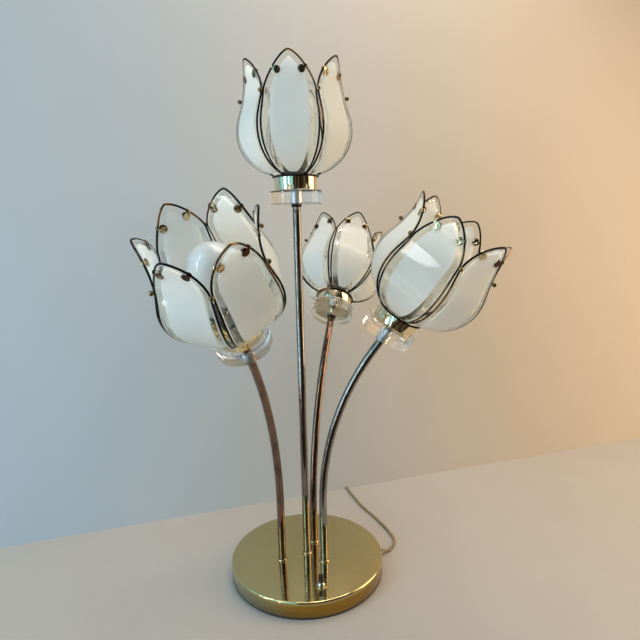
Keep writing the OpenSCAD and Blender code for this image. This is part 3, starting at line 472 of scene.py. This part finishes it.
feed(surface, Base_Color=scuff.mix((0.86, 0.83, 0.76, 1), (0.66, 0.62, 0.54, 1)),
     Roughness=scuff * 0.18 + 0.10, Normal=paint.bump(scuff, 0.1, 0.0002))
old_gold, paint, surface = new_finish("yellowed washer", Metallic=1.0)
tarnish = paint.speckle(240, 4, 0.6)
feed(surface, Base_Color=tarnish.mix((0.56, 0.47, 0.25, 1), (0.38, 0.30, 0.14, 1)),
     Roughness=tarnish * 0.2 + 0.18)
belongs(switch_nut, nickel, "lamp", "nickel", "switch_nut")
belongs(switch_neck, nickel, "lamp", "nickel", "switch_nut")
belongs(switch_washer, old_gold, "lamp", "nickel", "switch_nut")

knob_foot, knob_height, knob_radius, knob_flat = 0.0351, 0.0125, 0.0042, 0.0024
bpy.ops.object.select_all(action="DESELECT")
bpy.ops.mesh.primitive_cylinder_add(vertices=72, radius=knob_radius, depth=knob_height,
                                    location=(0, 0, knob_foot + knob_height / 2))
knob = bpy.context.object
knob.name = "switch_turn_knob"
bpy.ops.object.transform_apply(location=True)
bpy.ops.object.mode_set(mode="EDIT")
bpy.ops.mesh.select_all(action="SELECT")
for height in (knob_foot + 0.0030, knob_foot + 0.0045):
    bpy.ops.mesh.bisect(plane_co=(0, 0, height), plane_no=(0, 0, 1))
    bpy.ops.mesh.select_all(action="SELECT")
bpy.ops.object.mode_set(mode="OBJECT")
for corner in knob.data.vertices:
    if corner.co.z > knob_foot + 0.0040:
        corner.co.y = max(-knob_flat, min(knob_flat, corner.co.y))
for face in knob.data.polygons:
    around = math.degrees(math.atan2(face.center.y, face.center.x)) % 15
    face.select = abs(face.normal.z) < 0.1 and abs(face.center.y) < 0.0023 and around < 5
bpy.ops.object.mode_set(mode="EDIT")
bpy.ops.mesh.inset(thickness=0.00008, depth=-0.00025)
bpy.ops.object.mode_set(mode="OBJECT")
soften(knob, 0.0003, 3, 50)
bpy.ops.object.shade_smooth_by_angle(angle=math.radians(40))
bpy.ops.object.select_all(action="DESELECT")
bpy.ops.mesh.primitive_cylinder_add(vertices=32, radius=0.0018, depth=0.004,
                                    location=(0, 0, knob_foot - 0.0018))
knob_shaft = bpy.context.object
knob_shaft.name = "switch_knob_shaft"
bpy.ops.object.transform_apply(location=True)
soften(knob_shaft, 0.0003, 2, 50)
bpy.ops.object.shade_smooth_by_angle(angle=math.radians(40))
brown_plastic, paint, surface = new_finish("brown moulded plastic", Coat_Weight=0.4, Coat_Roughness=0.15)
swirl = paint.speckle(320, 4, 0.6, stretch=(1, 1, 0.4))
feed(surface, Base_Color=swirl.mix((0.050, 0.018, 0.010, 1), (0.014, 0.007, 0.005, 1)),
     Roughness=swirl * 0.2 + 0.3, Normal=paint.bump(swirl, 0.08, 0.0002))
for piece in (knob, knob_shaft):
    set_down(piece, switch_place)
    belongs(piece, brown_plastic, "knob", "brown_plastic", "switch_knob")

# The stems: four brass tubes of 12.7 mm. The middle one is straight, and the three others rise straight from
# the pan and then bend outwards. The lacquer has darkened and is tarnished in patches. Each stem also gets
# its own tone, from grey to copper brown and darker towards copper, as painted reflection for what it
# mirrors. A thin ring covers each hole in the pan.
stem_radius = 0.00635
stems = {"top": ((0, 0), 0, 0, 0.576, 0), "left": ((0.0445, 201.5), 250, 34, 0.095, 0.042),
         "right": ((0.0375, -41), -23.5, 35.5, 0.095, 0.030), "back": ((0.035, 68), 71, 40, 0.042, 0.054)}
# Painted reflection: each stem's own tone, grey to copper brown, copies what that stem mirrors.
stem_painted_reflection_tones = {"top": 0.15, "left": 0.8, "right": 0.0, "back": 1.0}
bend_radius = 0.455
stem_tops, stem_feet = {}, {}
aged_brass, paint, surface = new_finish("aged stem brass", Metallic=1.0, Coat_Weight=1.0,
                                        Coat_Roughness=0.05)
patches = paint.speckle(90, 5, 0.62, stretch=(1, 1, 0.3))
drawn = paint.speckle(900, 2, 0.5, stretch=(1, 1, 0.02))
spots = (paint.speckle(500, 2) - 0.64).clear_steps(0, 0.04)
# Painted reflection and shade: the stem's tone turns its colour towards copper brown and darkens it.
painted_reflection_tone = paint.node("ShaderNodeAttribute", {"attribute_name": "painted_reflection_tone"}, out=2)
painted_reflection_colour = painted_reflection_tone.mix((0.36, 0.35, 0.32, 1), (0.44, 0.20, 0.09, 1))
tarnish_and_painted_shade = patches * 1.5 - 0.35 + spots * 0.5 + painted_reflection_tone * 0.35
feed(surface, Base_Color=tarnish_and_painted_shade.mix(painted_reflection_colour, (0.06, 0.042, 0.030, 1)),
     Roughness=patches * 0.08 + drawn * 0.04 + spots * 0.12 + 0.04,
     Normal=paint.bump(patches + drawn * 0.4, 0.04, 0.0003))
for name, ((reach, around), swing, bend, rise, tail) in stems.items():
    foot = Vector((reach * math.cos(math.radians(around)), reach * math.sin(math.radians(around)), pan_top))
    swing, bend = math.radians(swing), math.radians(bend)
    bpy.ops.object.select_all(action="DESELECT")
    bpy.ops.mesh.primitive_circle_add(vertices=56, radius=stem_radius, fill_type="NGON")
    stem = bpy.context.object
    stem.name = name + "_stem_tube"
    bpy.ops.object.mode_set(mode="EDIT")
    bpy.ops.mesh.extrude_region_move(TRANSFORM_OT_translate={"value": (0, 0, rise)})
    if bend:
        bpy.ops.mesh.spin(steps=44, angle=-bend, center=(bend_radius, 0, rise), axis=(0, 1, 0))
        bpy.ops.mesh.extrude_region_move(
            TRANSFORM_OT_translate={"value": (tail * math.sin(bend), 0, tail * math.cos(bend))})
    shut_and_outward()
    soften(stem, 0.0003, 2, 60)
    bpy.ops.object.shade_smooth_by_angle(angle=math.radians(40))
    turn = Matrix.Rotation(swing, 4, "Z")
    set_down(stem, foot, turn)
    painted_reflection_layer = stem.data.attributes.new("painted_reflection_tone", "FLOAT", "POINT")
    painted_reflection_layer.data.foreach_set("value", [stem_painted_reflection_tones[name]] * len(painted_reflection_layer.data))
    belongs(stem, aged_brass, "lamp", "aged_brass", ("centre" if name == "top" else name) + "_stem")
    high = Vector((bend_radius * (1 - math.cos(bend)) + tail * math.sin(bend), 0,
                   rise + (bend_radius * math.sin(bend) + tail * math.cos(bend) if bend else 0)))
    stem_tops[name] = Matrix.Translation(foot + turn @ high) @ turn @ Matrix.Rotation(bend, 4, "Y")
    stem_feet[name] = foot


def another(piece, place):
    """A copy of a piece with a mesh of its own, moved."""
    other = piece.copy()
    other.data = piece.data.copy()
    scene.collection.objects.link(other)
    other.data.transform(place)
    return other


ring_inner, ring_outer, ring_height = stem_radius + 0.00005, 0.0085, 0.003
outline = [(ring_inner, 0), (ring_outer - 0.0002, 0), (ring_outer, 0.0002), (ring_outer, 0.0018),
           (ring_outer - 0.0004, 0.0026), (ring_outer - 0.0011, ring_height), (ring_inner, ring_height),
           (ring_inner, 0)]
foot_ring = turned("foot_ring", outline, steps=72)
bright_brass, paint, surface = new_finish("bright brass ring", Metallic=1.0)
wear = paint.speckle(300, 4, 0.6)
feed(surface, Base_Color=wear.mix((0.74, 0.62, 0.42, 1), (0.30, 0.20, 0.10, 1)),
     Roughness=wear * 0.15 + 0.10)
for name, foot in stem_feet.items():
    ring_piece = another(foot_ring, Matrix.Translation(foot))
    ring_piece.name = name + "_foot_ring"
    belongs(ring_piece, bright_brass, "lamp", "aged_brass", "stem_ferrules")
bpy.data.objects.remove(foot_ring)

# Under each flower: a black collar on the stem's end, then a clear acrylic disc 20 mm thick with polished
# edges and a silvery tube through its middle, and the polished brass cup that holds the petals' feet. Each
# piece is modelled upright, with zero at the clear disc's underside.
flower_turn = {"top": 26, "left": -5, "right": 26, "back": 31.5}
collar_height, pipe_hole = 0.004, 0.0049
flower_places = {}
for name, place in stem_tops.items():
    turn = Matrix.Rotation(math.radians(flower_turn[name]), 4, "Z")
    flower_places[name] = place @ Matrix.Translation((0, 0, collar_height)) @ turn


def on_each_flower(piece, material, body, slot, node):
    """Copies a finished upright piece to all four flowers and takes the first one away."""
    for name, place in flower_places.items():
        other = another(piece, place)
        other.name = name + "_" + piece.name
        belongs(other, material, body.replace("FLOWER", name), slot, node.replace("FLOWER", name))
    bpy.data.objects.remove(piece)


collar_radius = 0.008
outline = [(pipe_hole, -collar_height), (0.0072, -collar_height), (collar_radius, -0.0036),
           (collar_radius, -0.0005), (0.0075, 0), (pipe_hole, 0), (pipe_hole, -collar_height)]
collar = turned("dark_collar", outline, steps=56)
black_iron, paint, surface = new_finish("blackened collar", Metallic=0.7)
skin = paint.speckle(420, 4, 0.6)
feed(surface, Base_Color=skin.mix((0.010, 0.009, 0.008, 1), (0.035, 0.028, 0.020, 1)),
     Roughness=skin * 0.2 + 0.25)
on_each_flower(collar, black_iron, "lamp", "dark_brass", "neck_collars")

disc_radius, disc_height, disc_edge = 0.0395, 0.020, 0.0008
hole = stem_radius + 0.0001
outline = [(hole, 0), (disc_radius - disc_edge, 0), (disc_radius, disc_edge),
           (disc_radius, disc_height - disc_edge), (disc_radius - disc_edge, disc_height),
           (hole, disc_height), (hole, 0)]
clear_disc = turned("clear_disc", outline, steps=144)
acrylic, paint, surface = new_finish("clear acrylic", Transmission_Weight=1.0, IOR=1.49)
handled = paint.speckle(30, 4, 0.6)
rim_scuff = (paint.speckle(500, 3) - 0.6).clear_steps(0, 0.1)
bending = feed(surface, Base_Color=handled.mix((1.0, 0.995, 0.98, 1), (0.965, 0.97, 0.965, 1)),
               Roughness=handled * 0.015 + rim_scuff * 0.03)
shadow_ray = paint.node("ShaderNodeLightPath", out=1)
blend(paint, shadow_ray * 0.85 + 0.15, bending, see_through(paint, (0.95, 0.955, 0.95, 1)))
on_each_flower(clear_disc, acrylic, "lamp", "clear_acrylic", "FLOWER_disc")

outline = [(pipe_hole, 0), (stem_radius - 0.0003, 0), (stem_radius, 0.0003),
           (stem_radius, disc_height - 0.0003), (stem_radius - 0.0003, disc_height),
           (pipe_hole, disc_height), (pipe_hole, 0)]
spacer = turned("silvery_spacer", outline, steps=56)
zinc, paint, surface = new_finish("zinc plate", Metallic=1.0)
streak = paint.speckle(300, 4, 0.6, stretch=(1, 1, 0.1))
feed(surface, Base_Color=streak.mix((0.52, 0.53, 0.54, 1), (0.34, 0.35, 0.36, 1)),
     Roughness=streak * 0.15 + 0.26)
on_each_flower(spacer, zinc, "lamp", "zinc_steel", "disc_spacers")

cup_radius, cup_foot, cup_height, cup_sheet, cup_hole = 0.0325, 0.020, 0.022, 0.001, 0.0050
rim = cup_foot + cup_height
outline = [(cup_hole, cup_foot), (cup_radius - 0.0010, cup_foot), (cup_radius - 0.0003, cup_foot + 0.0003),
           (cup_radius, cup_foot + 0.0010), (cup_radius, rim - 0.0003), (cup_radius - 0.0003, rim),
           (cup_radius - cup_sheet + 0.0002, rim), (cup_radius - cup_sheet, rim - 0.0003),
           (cup_radius - cup_sheet, cup_foot + 0.0018), (cup_radius - 0.0018, cup_foot + cup_sheet),
           (cup_hole, cup_foot + cup_sheet), (cup_hole, cup_foot)]
cup = turned("polished_cup", outline, steps=160)
mirror_brass, paint, surface = new_finish("polished cup brass", Metallic=1.0)
swirls = paint.speckle(140, 4, 0.6, stretch=(1, 1, 0.25))
feed(surface, Base_Color=swirls.mix((0.88, 0.78, 0.55, 1), (0.80, 0.69, 0.45, 1)),
     Roughness=swirls * 0.05 + 0.015)
on_each_flower(cup, mirror_brass, "lamp", "polished_brass", "FLOWER_cup")

# The lampholders: black moulded holders screwed on the pipe inside each flower, with a stepped foot and
# moulded rings. Each takes a screw-in opal bulb, pear shaped and 62 mm across, which travels out along the
# flower's axis as it is unscrewed.
holder_foot, holder_top, holder_radius = 0.032, 0.080, 0.019
bore_radius, bore_foot, holder_hole = 0.0135, holder_top - 0.0223, 0.0048
outline = [(holder_hole, holder_foot), (0.0145, holder_foot), (0.0150, holder_foot + 0.0005),
           (0.0150, holder_foot + 0.0065), (0.0140, holder_foot + 0.0070), (0.0185, holder_foot + 0.0118),
           (holder_radius, holder_foot + 0.0125)]
for k in range(5):
    step = holder_foot + 0.018 + 0.0055 * k
    outline += [(holder_radius, step), (holder_radius - 0.0007, step + 0.0004),
                (holder_radius - 0.0007, step + 0.0010), (holder_radius, step + 0.0014)]
outline += [(holder_radius, holder_top - 0.0025), (holder_radius - 0.0012, holder_top - 0.0006),
            (holder_radius - 0.0020, holder_top), (bore_radius + 0.0005, holder_top),
            (bore_radius, holder_top - 0.0006), (bore_radius, bore_foot), (holder_hole, bore_foot),
            (holder_hole, holder_foot)]
holder = turned("bulb_holder", outline, steps=96)
black_moulding, paint, surface = new_finish("black moulding", Coat_Weight=0.3, Coat_Roughness=0.2)
grime = paint.speckle(160, 4, 0.65)
feed(surface, Base_Color=grime.mix((0.014, 0.013, 0.012, 1), (0.055, 0.050, 0.045, 1)),
     Roughness=grime * 0.25 + 0.3, Normal=paint.bump(grime, 0.1, 0.0003))
on_each_flower(holder, black_moulding, "lamp", "black_phenolic", "FLOWER_lampholder")

cap_foot, cap_radius, cap_length, globe_height, globe_radius = 0.058, 0.0132, 0.025, 0.136, 0.031
outline = [(0, cap_foot), (0.0042, cap_foot), (0.0045, cap_foot + 0.0004), (0.0062, cap_foot + 0.0026),
           (cap_radius - 0.0012, cap_foot + 0.0030)]
thread_depth, thread_step = 0.0005, 0.00072
for k in range(25):
    outline.append((cap_radius - thread_depth + thread_depth * math.cos(k * math.pi / 2),
                    cap_foot + 0.0036 + thread_step * k))
outline += [(cap_radius - 0.0002, cap_foot + 0.0216), (cap_radius, cap_foot + cap_length - 0.0004),
            (cap_radius - 0.0008, cap_foot + cap_length), (0, cap_foot + cap_length)]
cap = turned("bulb_screw_cap", outline, steps=72)
on_each_flower(cap, nickel, "FLOWER_bulb_unit", "nickel", "FLOWER_bulb_cap")

globe_foot = cap_foot + cap_length
outline = [(r, globe_foot + z) for r, z in (
    (0, 0), (0.0118, 0), (0.0122, 0.0010), (0.0127, 0.0030), (0.0138, 0.0065), (0.0154, 0.0115),
    (0.0177, 0.0175), (0.0208, 0.0242), (0.0245, 0.0322))]
outline += [(globe_radius * math.cos(a), globe_height + globe_radius * math.sin(a))
            for a in (math.radians(-24 + 4 * k) for k in range(28))] + [(0, globe_height + globe_radius)]
globe = turned("opal_globe", outline, steps=96)
opal, paint, surface = new_finish("opal glass", Coat_Weight=1.0, Coat_Roughness=0.03, Roughness=0.35,
                                  Subsurface_Weight=0.15, Subsurface_Scale=0.01)
milk = paint.speckle(40, 3)
feed(surface, Base_Color=milk.mix((0.68, 0.665, 0.64, 1), (0.73, 0.715, 0.69, 1)))
on_each_flower(globe, opal, "FLOWER_bulb_unit", "opal_glass", "FLOWER_bulb")

# The petals: six strips of 3 mm glass, bent over a mould and cut to a leaf, stand round each cup. The middle
# of each is satin. A margin of 10.5 mm along the edge, narrower near the tip, is clear, and its ground edge
# is paler. A wire frame holds each by its edge.
wire_radius, ring_wire_radius, glass_gap, glass_half = 0.0014, 0.0015, 0.0003, 0.0015
frame_ring = cup_radius + ring_wire_radius + 0.0003
frame_ring_height = rim - ring_wire_radius
wire_foot = frame_ring_height + ring_wire_radius + wire_radius + 0.0003
glass_foot = wire_foot + 0.002
bulge_height, bulge_radius, upper_bend, lean = 0.104, 0.0753, 0.073, math.radians(16.5)
turn_out, tip_bend, tip_height, bead_height, side_gap = 0.140, 0.077, 0.199, 0.150, 0.0032
touch, fuller, rounder = 2 * wire_radius + 0.0003, 1.35, 0.66
petal_foot_radius = (math.sqrt(frame_ring ** 2 - (touch / 2) ** 2) * math.cos(math.pi / 6)
                     + touch / 2 * math.sin(math.pi / 6))
foot_in = bulge_radius - petal_foot_radius
lower_bend = (foot_in ** 2 + (bulge_height - wire_foot) ** 2) / (2 * foot_in)
turn_in = bulge_height + upper_bend * math.sin(lean)
turn_in_radius = bulge_radius - upper_bend * (1 - math.cos(lean))
turn_out_radius = turn_in_radius - (turn_out - turn_in) * math.tan(lean)
tip_middle = (turn_out_radius + tip_bend * math.cos(lean), turn_out + tip_bend * math.sin(lean))


def petal_radius(z):
    """Distance of the petal's middle from the flower's axis, by height."""
    if z <= bulge_height:
        return bulge_radius - lower_bend + math.sqrt(lower_bend ** 2 - (bulge_height - z) ** 2)
    if z <= turn_in:
        return bulge_radius - upper_bend + math.sqrt(upper_bend ** 2 - (z - bulge_height) ** 2)
    if z <= turn_out:
        return turn_in_radius - (z - turn_in) * math.tan(lean)
    return tip_middle[0] - math.sqrt(tip_bend ** 2 - (z - tip_middle[1]) ** 2)


def side_half_width(z):
    """Half the width of the wire frame below the beads, where it lies beside its neighbour."""
    between = touch + side_gap * math.sin(math.pi * (z - wire_foot) / (bead_height - wire_foot))
    return (petal_radius(z) / 2 - between / 2) / math.cos(math.pi / 6)


def tip_share(z):
    """The frame's width above the beads, as a share of its width at the beads."""
    return (1 - min(1, (z - bead_height) / (tip_height - bead_height)) ** fuller) ** rounder


def tip_at(share):
    """The height at which the frame has that share of its width at the beads."""
    return bead_height + (tip_height - bead_height) * (1 - share ** (1 / rounder)) ** (1 / fuller)


bead_half_width = side_half_width(bead_height)
edge_in = wire_radius + glass_gap
side_heights = [wire_foot + (bead_height - wire_foot) * k / 40 for k in range(41)]
frame_edge = [(side_half_width(z), z) for z in side_heights]
for k in range(1, 30):
    share = math.cos(math.pi / 2 * k / 30)
    frame_edge.append((bead_half_width * share, tip_at(share)))
frame_edge.append((0, tip_height))
rows = []
for k in range(len(frame_edge) - 1):
    (w0, z0), (w1, z1) = frame_edge[max(0, k - 1)], frame_edge[k + 1]
    up, out = math.hypot(z1 - z0, petal_radius(z1) - petal_radius(z0)), w1 - w0
    width = frame_edge[k][0] - edge_in * up / math.hypot(up, out)
    z = frame_edge[k][1] + edge_in * out / math.hypot(up, out) * (z1 - z0) / up
    if z > glass_foot and width > 0.0004:
        rows.append((z, width))
(z0, w0), (z1, w1) = rows[:2]
rows.insert(0, (glass_foot, w0 - (z0 - glass_foot) * (w1 - w0) / (z1 - z0)))
rows.append((rows[-1][0] + 0.0002, 0.0002))
climb = [0.0]
for (z0, _), (z1, _) in zip(rows[:-1], rows[1:]):
    climb.append(climb[-1] + math.hypot(z1 - z0, petal_radius(z1) - petal_radius(z0)))
edge_line = [Vector((width, s)) for (_, width), s in zip(rows, climb)]
columns, corner_softness, satin_from_foot = 28, 0.0012, 0.009
narrows_from, narrows_over, narrows_by = 0.110, 0.088, 0.75
bpy.ops.object.select_all(action="DESELECT")
bpy.ops.mesh.primitive_grid_add(x_subdivisions=columns, y_subdivisions=len(rows) - 1, size=2)
petal = bpy.context.object
petal.name = "glass_petal"
margin = petal.data.attributes.new("margin", "FLOAT", "POINT")
for corner in petal.data.vertices:
    row = round((corner.co.y + 1) / 2 * (len(rows) - 1))
    z, half_width = rows[row]
    y = corner.co.x * half_width
    here = Vector((abs(y), climb[row]))
    nearest = 1.0
    for a, b in zip(edge_line[:-1], edge_line[1:]):
        side = b - a
        share = max(0, min(1, (here - a).dot(side) / side.length_squared))
        nearest = min(nearest, (here - a - share * side).length)
    nearest *= 1 + max(0, z - narrows_from) / narrows_over * narrows_by
    falls = [math.exp(-d / corner_softness) for d in (nearest, climb[row] + satin_from_foot)]
    margin.data[corner.index].value = -math.log(sum(falls)) * corner_softness
    corner.co = (petal_radius(z), y, z)
add_modifier(petal, "SOLIDIFY", thickness=2 * glass_half, offset=0, use_even_offset=True)
soften(petal, 0.0005, 3, 60)
bpy.ops.object.mode_set(mode="EDIT")
bpy.ops.mesh.select_all(action="SELECT")
bpy.ops.mesh.normals_make_consistent(inside=False)
bpy.ops.object.mode_set(mode="OBJECT")
bpy.ops.object.shade_smooth_by_angle(angle=math.radians(35))

petal_glass, paint, surface = new_finish("petal glass", Transmission_Weight=1.0, IOR=1.5)
dust = paint.speckle(60, 4, 0.6)
bending = feed(surface, Base_Color=dust.mix((0.975, 0.985, 0.965, 1), (0.93, 0.945, 0.91, 1)),
               Roughness=dust * 0.03)
shadow_ray = paint.node("ShaderNodeLightPath", out=1)
clear = blend(paint, shadow_ray * 0.3 + 0.7, bending, see_through(paint, (0.975, 0.985, 0.965, 1)))
etched = paint.speckle(700, 3, 0.6)
satin_face = paint.node("ShaderNodeBsdfPrincipled", None, {
    "Coat Weight": 1.0, "Coat Roughness": 0.04, "Specular IOR Level": 0.4,
    "Base Color": (etched * 0.3 + dust * 0.6).mix((0.93, 0.93, 0.91, 1), (0.88, 0.88, 0.86, 1)),
    "Roughness": etched * 0.1 + 0.45, "Normal": paint.bump(etched, 0.06, 0.0002)})
glow = paint.node("ShaderNodeBsdfTranslucent", None, {"Color": (0.97, 0.96, 0.92, 1)})
satin = blend(paint, 0.52, satin_face, glow)
edge_distance = paint.node("ShaderNodeAttribute", {"attribute_name": "margin"}, out=2)
ground_edge = 1 - edge_distance.clear_steps(0.0006, 0.0011)
blend(paint, edge_distance.clear_steps(0.0102, 0.0108) + ground_edge * 0.8, clear, satin)
for k in range(6):
    other = another(petal, Matrix.Rotation(math.radians(60 * k), 4, "Z"))
    other.name = "glass_petal_%d" % (k + 1)
    on_each_flower(other, petal_glass, "lamp", "satin_glass", "FLOWER_petals")
bpy.data.objects.remove(petal)

# The petal frames: dark antique brass wire of 2.8 mm bent round each petal's edge, all six soldered at the
# foot to a ring of 3 mm round the cup's mouth. Above the widest place each pair of neighbours is joined by a
# soldered bead.
frame_lines = bpy.data.curves.new("petal_frames", "CURVE")
frame_lines.dimensions = "3D"
frame_lines.bevel_depth = wire_radius
frame_lines.bevel_resolution = 3
frame_lines.use_fill_caps = True
side_points = [(frame_ring_height + 0.0006, side_half_width(wire_foot))]
side_points += [(wire_foot + (bead_height - wire_foot) * k / 26, None) for k in range(27)]
half_line = []
for z, width in side_points:
    out = petal_radius(max(z, wire_foot)) - (0.0004 if width else 0)
    half_line.append((out, width or side_half_width(z), z))
for k in range(1, 24):
    share = math.cos(math.pi / 2 * k / 24)
    z = tip_at(share)
    half_line.append((petal_radius(z), bead_half_width * share, z))
full_line = half_line + [(petal_radius(tip_height), 0, tip_height)]
full_line += [(x, -y, z) for x, y, z in reversed(half_line)]
for k in range(6):
    turn = Matrix.Rotation(math.radians(60 * k), 4, "Z")
    strand = frame_lines.splines.new("POLY")
    strand.points.add(len(full_line) - 1)
    for corner, place in zip(strand.points, full_line):
        corner.co = (*(turn @ Vector(place)), 1)
hoop = frame_lines.splines.new("POLY")
hoop.points.add(95)
for k, corner in enumerate(hoop.points):
    angle = 2 * math.pi * k / 96
    corner.co = (frame_ring * math.cos(angle), frame_ring * math.sin(angle), frame_ring_height, 1)
    corner.radius = ring_wire_radius / wire_radius
hoop.use_cyclic_u = True
frames = bpy.data.objects.new("petal_frames", frame_lines)
scene.collection.objects.link(frames)
frames = as_mesh(frames)
bpy.ops.object.mode_set(mode="EDIT")
bpy.ops.mesh.select_all(action="SELECT")
bpy.ops.mesh.normals_make_consistent(inside=False)
bpy.ops.object.mode_set(mode="OBJECT")
frames.data.polygons.foreach_set("use_smooth", [True] * len(frames.data.polygons))
wire_brass, paint, surface = new_finish("antique wire brass", Metallic=1.0, Coat_Weight=0.15,
                                        Coat_Roughness=0.2)
rub = paint.speckle(120, 5, 0.65)
grain = paint.speckle(1400, 3, 0.6)
bared = (paint.speckle(16, 2) * 4 + rub - 2.65).clear_steps(0, 0.5)
feed(surface, Base_Color=(bared + grain * 0.2 - 0.1).mix((0.012, 0.010, 0.009, 1), (0.24, 0.13, 0.055, 1)),
     Roughness=grain * 0.15 + rub * 0.12 + 0.16, Normal=paint.bump(grain, 0.12, 0.0002))
on_each_flower(frames, wire_brass, "lamp", "dark_brass", "FLOWER_petal_wires")


def joined(pieces):
    bpy.ops.object.select_all(action="DESELECT")
    for piece in pieces:
        piece.select_set(True)
    bpy.context.view_layer.objects.active = pieces[0]
    bpy.ops.object.join()
    return bpy.context.object


bead_radius = 0.0032
bead_out = math.hypot(petal_radius(bead_height), bead_half_width) + wire_radius + bead_radius + 0.0001
outline = [(bead_radius * math.sin(a), -bead_radius * math.cos(a))
           for a in (math.radians(7.5 * k) for k in range(22))]
outline += [(0.0009, bead_radius - 0.0001), (0.0012, bead_radius + 0.0006), (0, bead_radius + 0.0010)]
bead = turned("joint_bead", outline, steps=28)
bead.data.transform(Matrix.Rotation(-math.pi / 2, 4, "Y"))
beads = []
for k in range(6):
    turn = Matrix.Rotation(math.radians(60 * k + 30), 4, "Z")
    beads.append(another(bead, turn @ Matrix.Translation((bead_out, 0, bead_height))))
bpy.data.objects.remove(bead)
beads = joined(beads)
beads.name = "joint_beads"
bead_brass, paint, surface = new_finish("rubbed bead brass", Metallic=1.0)
rubbed = paint.speckle(130, 4, 0.6)
feed(surface, Base_Color=(rubbed * 2 - 0.5).mix((0.05, 0.038, 0.025, 1), (0.42, 0.31, 0.15, 1)),
     Roughness=rubbed * 0.1 + 0.1)
on_each_flower(beads, bead_brass, "lamp", "dark_brass", "joint_beads")

# The clips: near its tip each petal is gripped on both sides by a folded brass clip, two round and slightly
# hollow plates on a strap that goes round the wire. They have a mirror polish that has browned in places.
clip_height = tip_height - 0.019
clip_span = 0.004
clip_slope = tip_share(clip_height - clip_span / 2) - tip_share(clip_height + clip_span / 2)
clip_turn = math.atan(bead_half_width * clip_slope / clip_span)
plate_radius, plate_sheet, plate_face = 0.0052, 0.0008, glass_half + 0.0003
clip_reach = plate_radius + wire_radius + 0.0001
outline = [(0, 0), (plate_radius - 0.0003, 0), (plate_radius, 0.0002), (plate_radius - 0.0001, 0.0005),
           (plate_radius - 0.0009, plate_sheet), (0.0028, 0.0007), (0, 0.0006)]
plate = turned("clip_plate", outline, steps=48)
plate.data.transform(Matrix.Translation((plate_face, 0, 0)) @ Matrix.Rotation(math.pi / 2, 4, "Y"))
other_plate = another(plate, Matrix.Rotation(math.pi, 4, "Z"))
strap_sheet, strap_width, straight_end = 0.0006, 0.0042, 0.001
bpy.ops.object.select_all(action="DESELECT")
bpy.ops.mesh.primitive_plane_add(size=strap_width)
strap = bpy.context.object
strap.data.transform(Matrix.Translation((plate_face + strap_sheet / 2, straight_end, 0))
                     @ Matrix.Rotation(math.pi / 2, 4, "X")
                     @ Matrix.Diagonal((strap_sheet / strap_width, 1, 1, 1)))
bpy.ops.object.mode_set(mode="EDIT")
bpy.ops.mesh.select_all(action="SELECT")
bpy.ops.mesh.extrude_region_move(TRANSFORM_OT_translate={"value": (0, clip_reach - straight_end, 0)})
bpy.ops.mesh.spin(steps=12, angle=-math.pi, center=(0, clip_reach, 0), axis=(0, 0, 1))
bpy.ops.mesh.extrude_region_move(TRANSFORM_OT_translate={"value": (0, straight_end - clip_reach, 0)})
shut_and_outward()
soften(strap, 0.00015, 2, 50)
bpy.ops.object.shade_smooth_by_angle(angle=math.radians(40))
clip = joined((plate, other_plate, strap))
grip_width = bead_half_width * tip_share(clip_height) - clip_reach * math.cos(clip_turn)
grip_height = clip_height - clip_reach * math.sin(clip_turn)
grip_lean = math.asin((grip_height - tip_middle[1]) / tip_bend)
clip.data.transform(Matrix.Translation((petal_radius(grip_height), grip_width, grip_height))
                    @ Matrix.Rotation(grip_lean, 4, "Y") @ Matrix.Rotation(clip_turn, 4, "X"))
clips = []
for k in range(6):
    for side in (1, -1):
        turn = Matrix.Rotation(math.radians(60 * k), 4, "Z")
        other = another(clip, turn @ Matrix.Diagonal((1, side, 1, 1)))
        if side < 0:
            other.data.flip_normals()
        clips.append(other)
bpy.data.objects.remove(clip)
clips = joined(clips)
clips.name = "petal_clips"
clip_brass, paint, surface = new_finish("browned clip brass", Metallic=1.0)
brown = paint.speckle(200, 4, 0.6) * 0.4 + paint.speckle(22, 2) * 0.6
browned = (brown * 7 - 2.9).clear_steps(0, 1)
feed(surface, Base_Color=browned.mix((0.60, 0.50, 0.31, 1), (0.07, 0.032, 0.013, 1)),
     Roughness=brown * 0.12 + 0.05, Normal=paint.bump(brown, 0.05, 0.0003))
on_each_flower(clips, clip_brass, "lamp", "clip_brass", "FLOWER_petal_clips")

# Hidden and small parts: the cast weight, the threaded pipes with their nuts and washers, the switch's body,
# the leads, the splice caps, and the cord's bushing, strap and plug keep their plain machined shapes. They
# get the finish of the real thing.
iron, paint, surface = new_finish("rough cast iron", Metallic=0.6)
cast = paint.speckle(240, 5, 0.7)
feed(surface, Base_Color=cast.mix((0.05, 0.047, 0.044, 1), (0.12, 0.10, 0.085, 1)),
     Roughness=cast * 0.3 + 0.5, Normal=paint.bump(cast, 0.5, 0.001))
red_plastic, paint, surface = new_finish("red splice cap", Coat_Weight=0.2)
mould = paint.speckle(300, 3)
feed(surface, Base_Color=mould.mix((0.50, 0.02, 0.015, 1), (0.36, 0.012, 0.01, 1)),
     Roughness=mould * 0.2 + 0.35)
for material, names in (
        (iron, ("base_weight",)), (zinc, ("stem_washers", "stem_locknuts", "switch_housing")),
        (bright_brass, ("flower_nipples", "cup_locknuts")), (red_plastic, ("splice_caps",)),
        (gold_vinyl, ("stem_leads", "plug_body")), (nickel, ("plug_blades",)),
        (black_moulding, ("cord_bushing", "coil_tie"))):
    for name in names:
        nodes[name].data.materials.clear()
        nodes[name].data.materials.append(material)
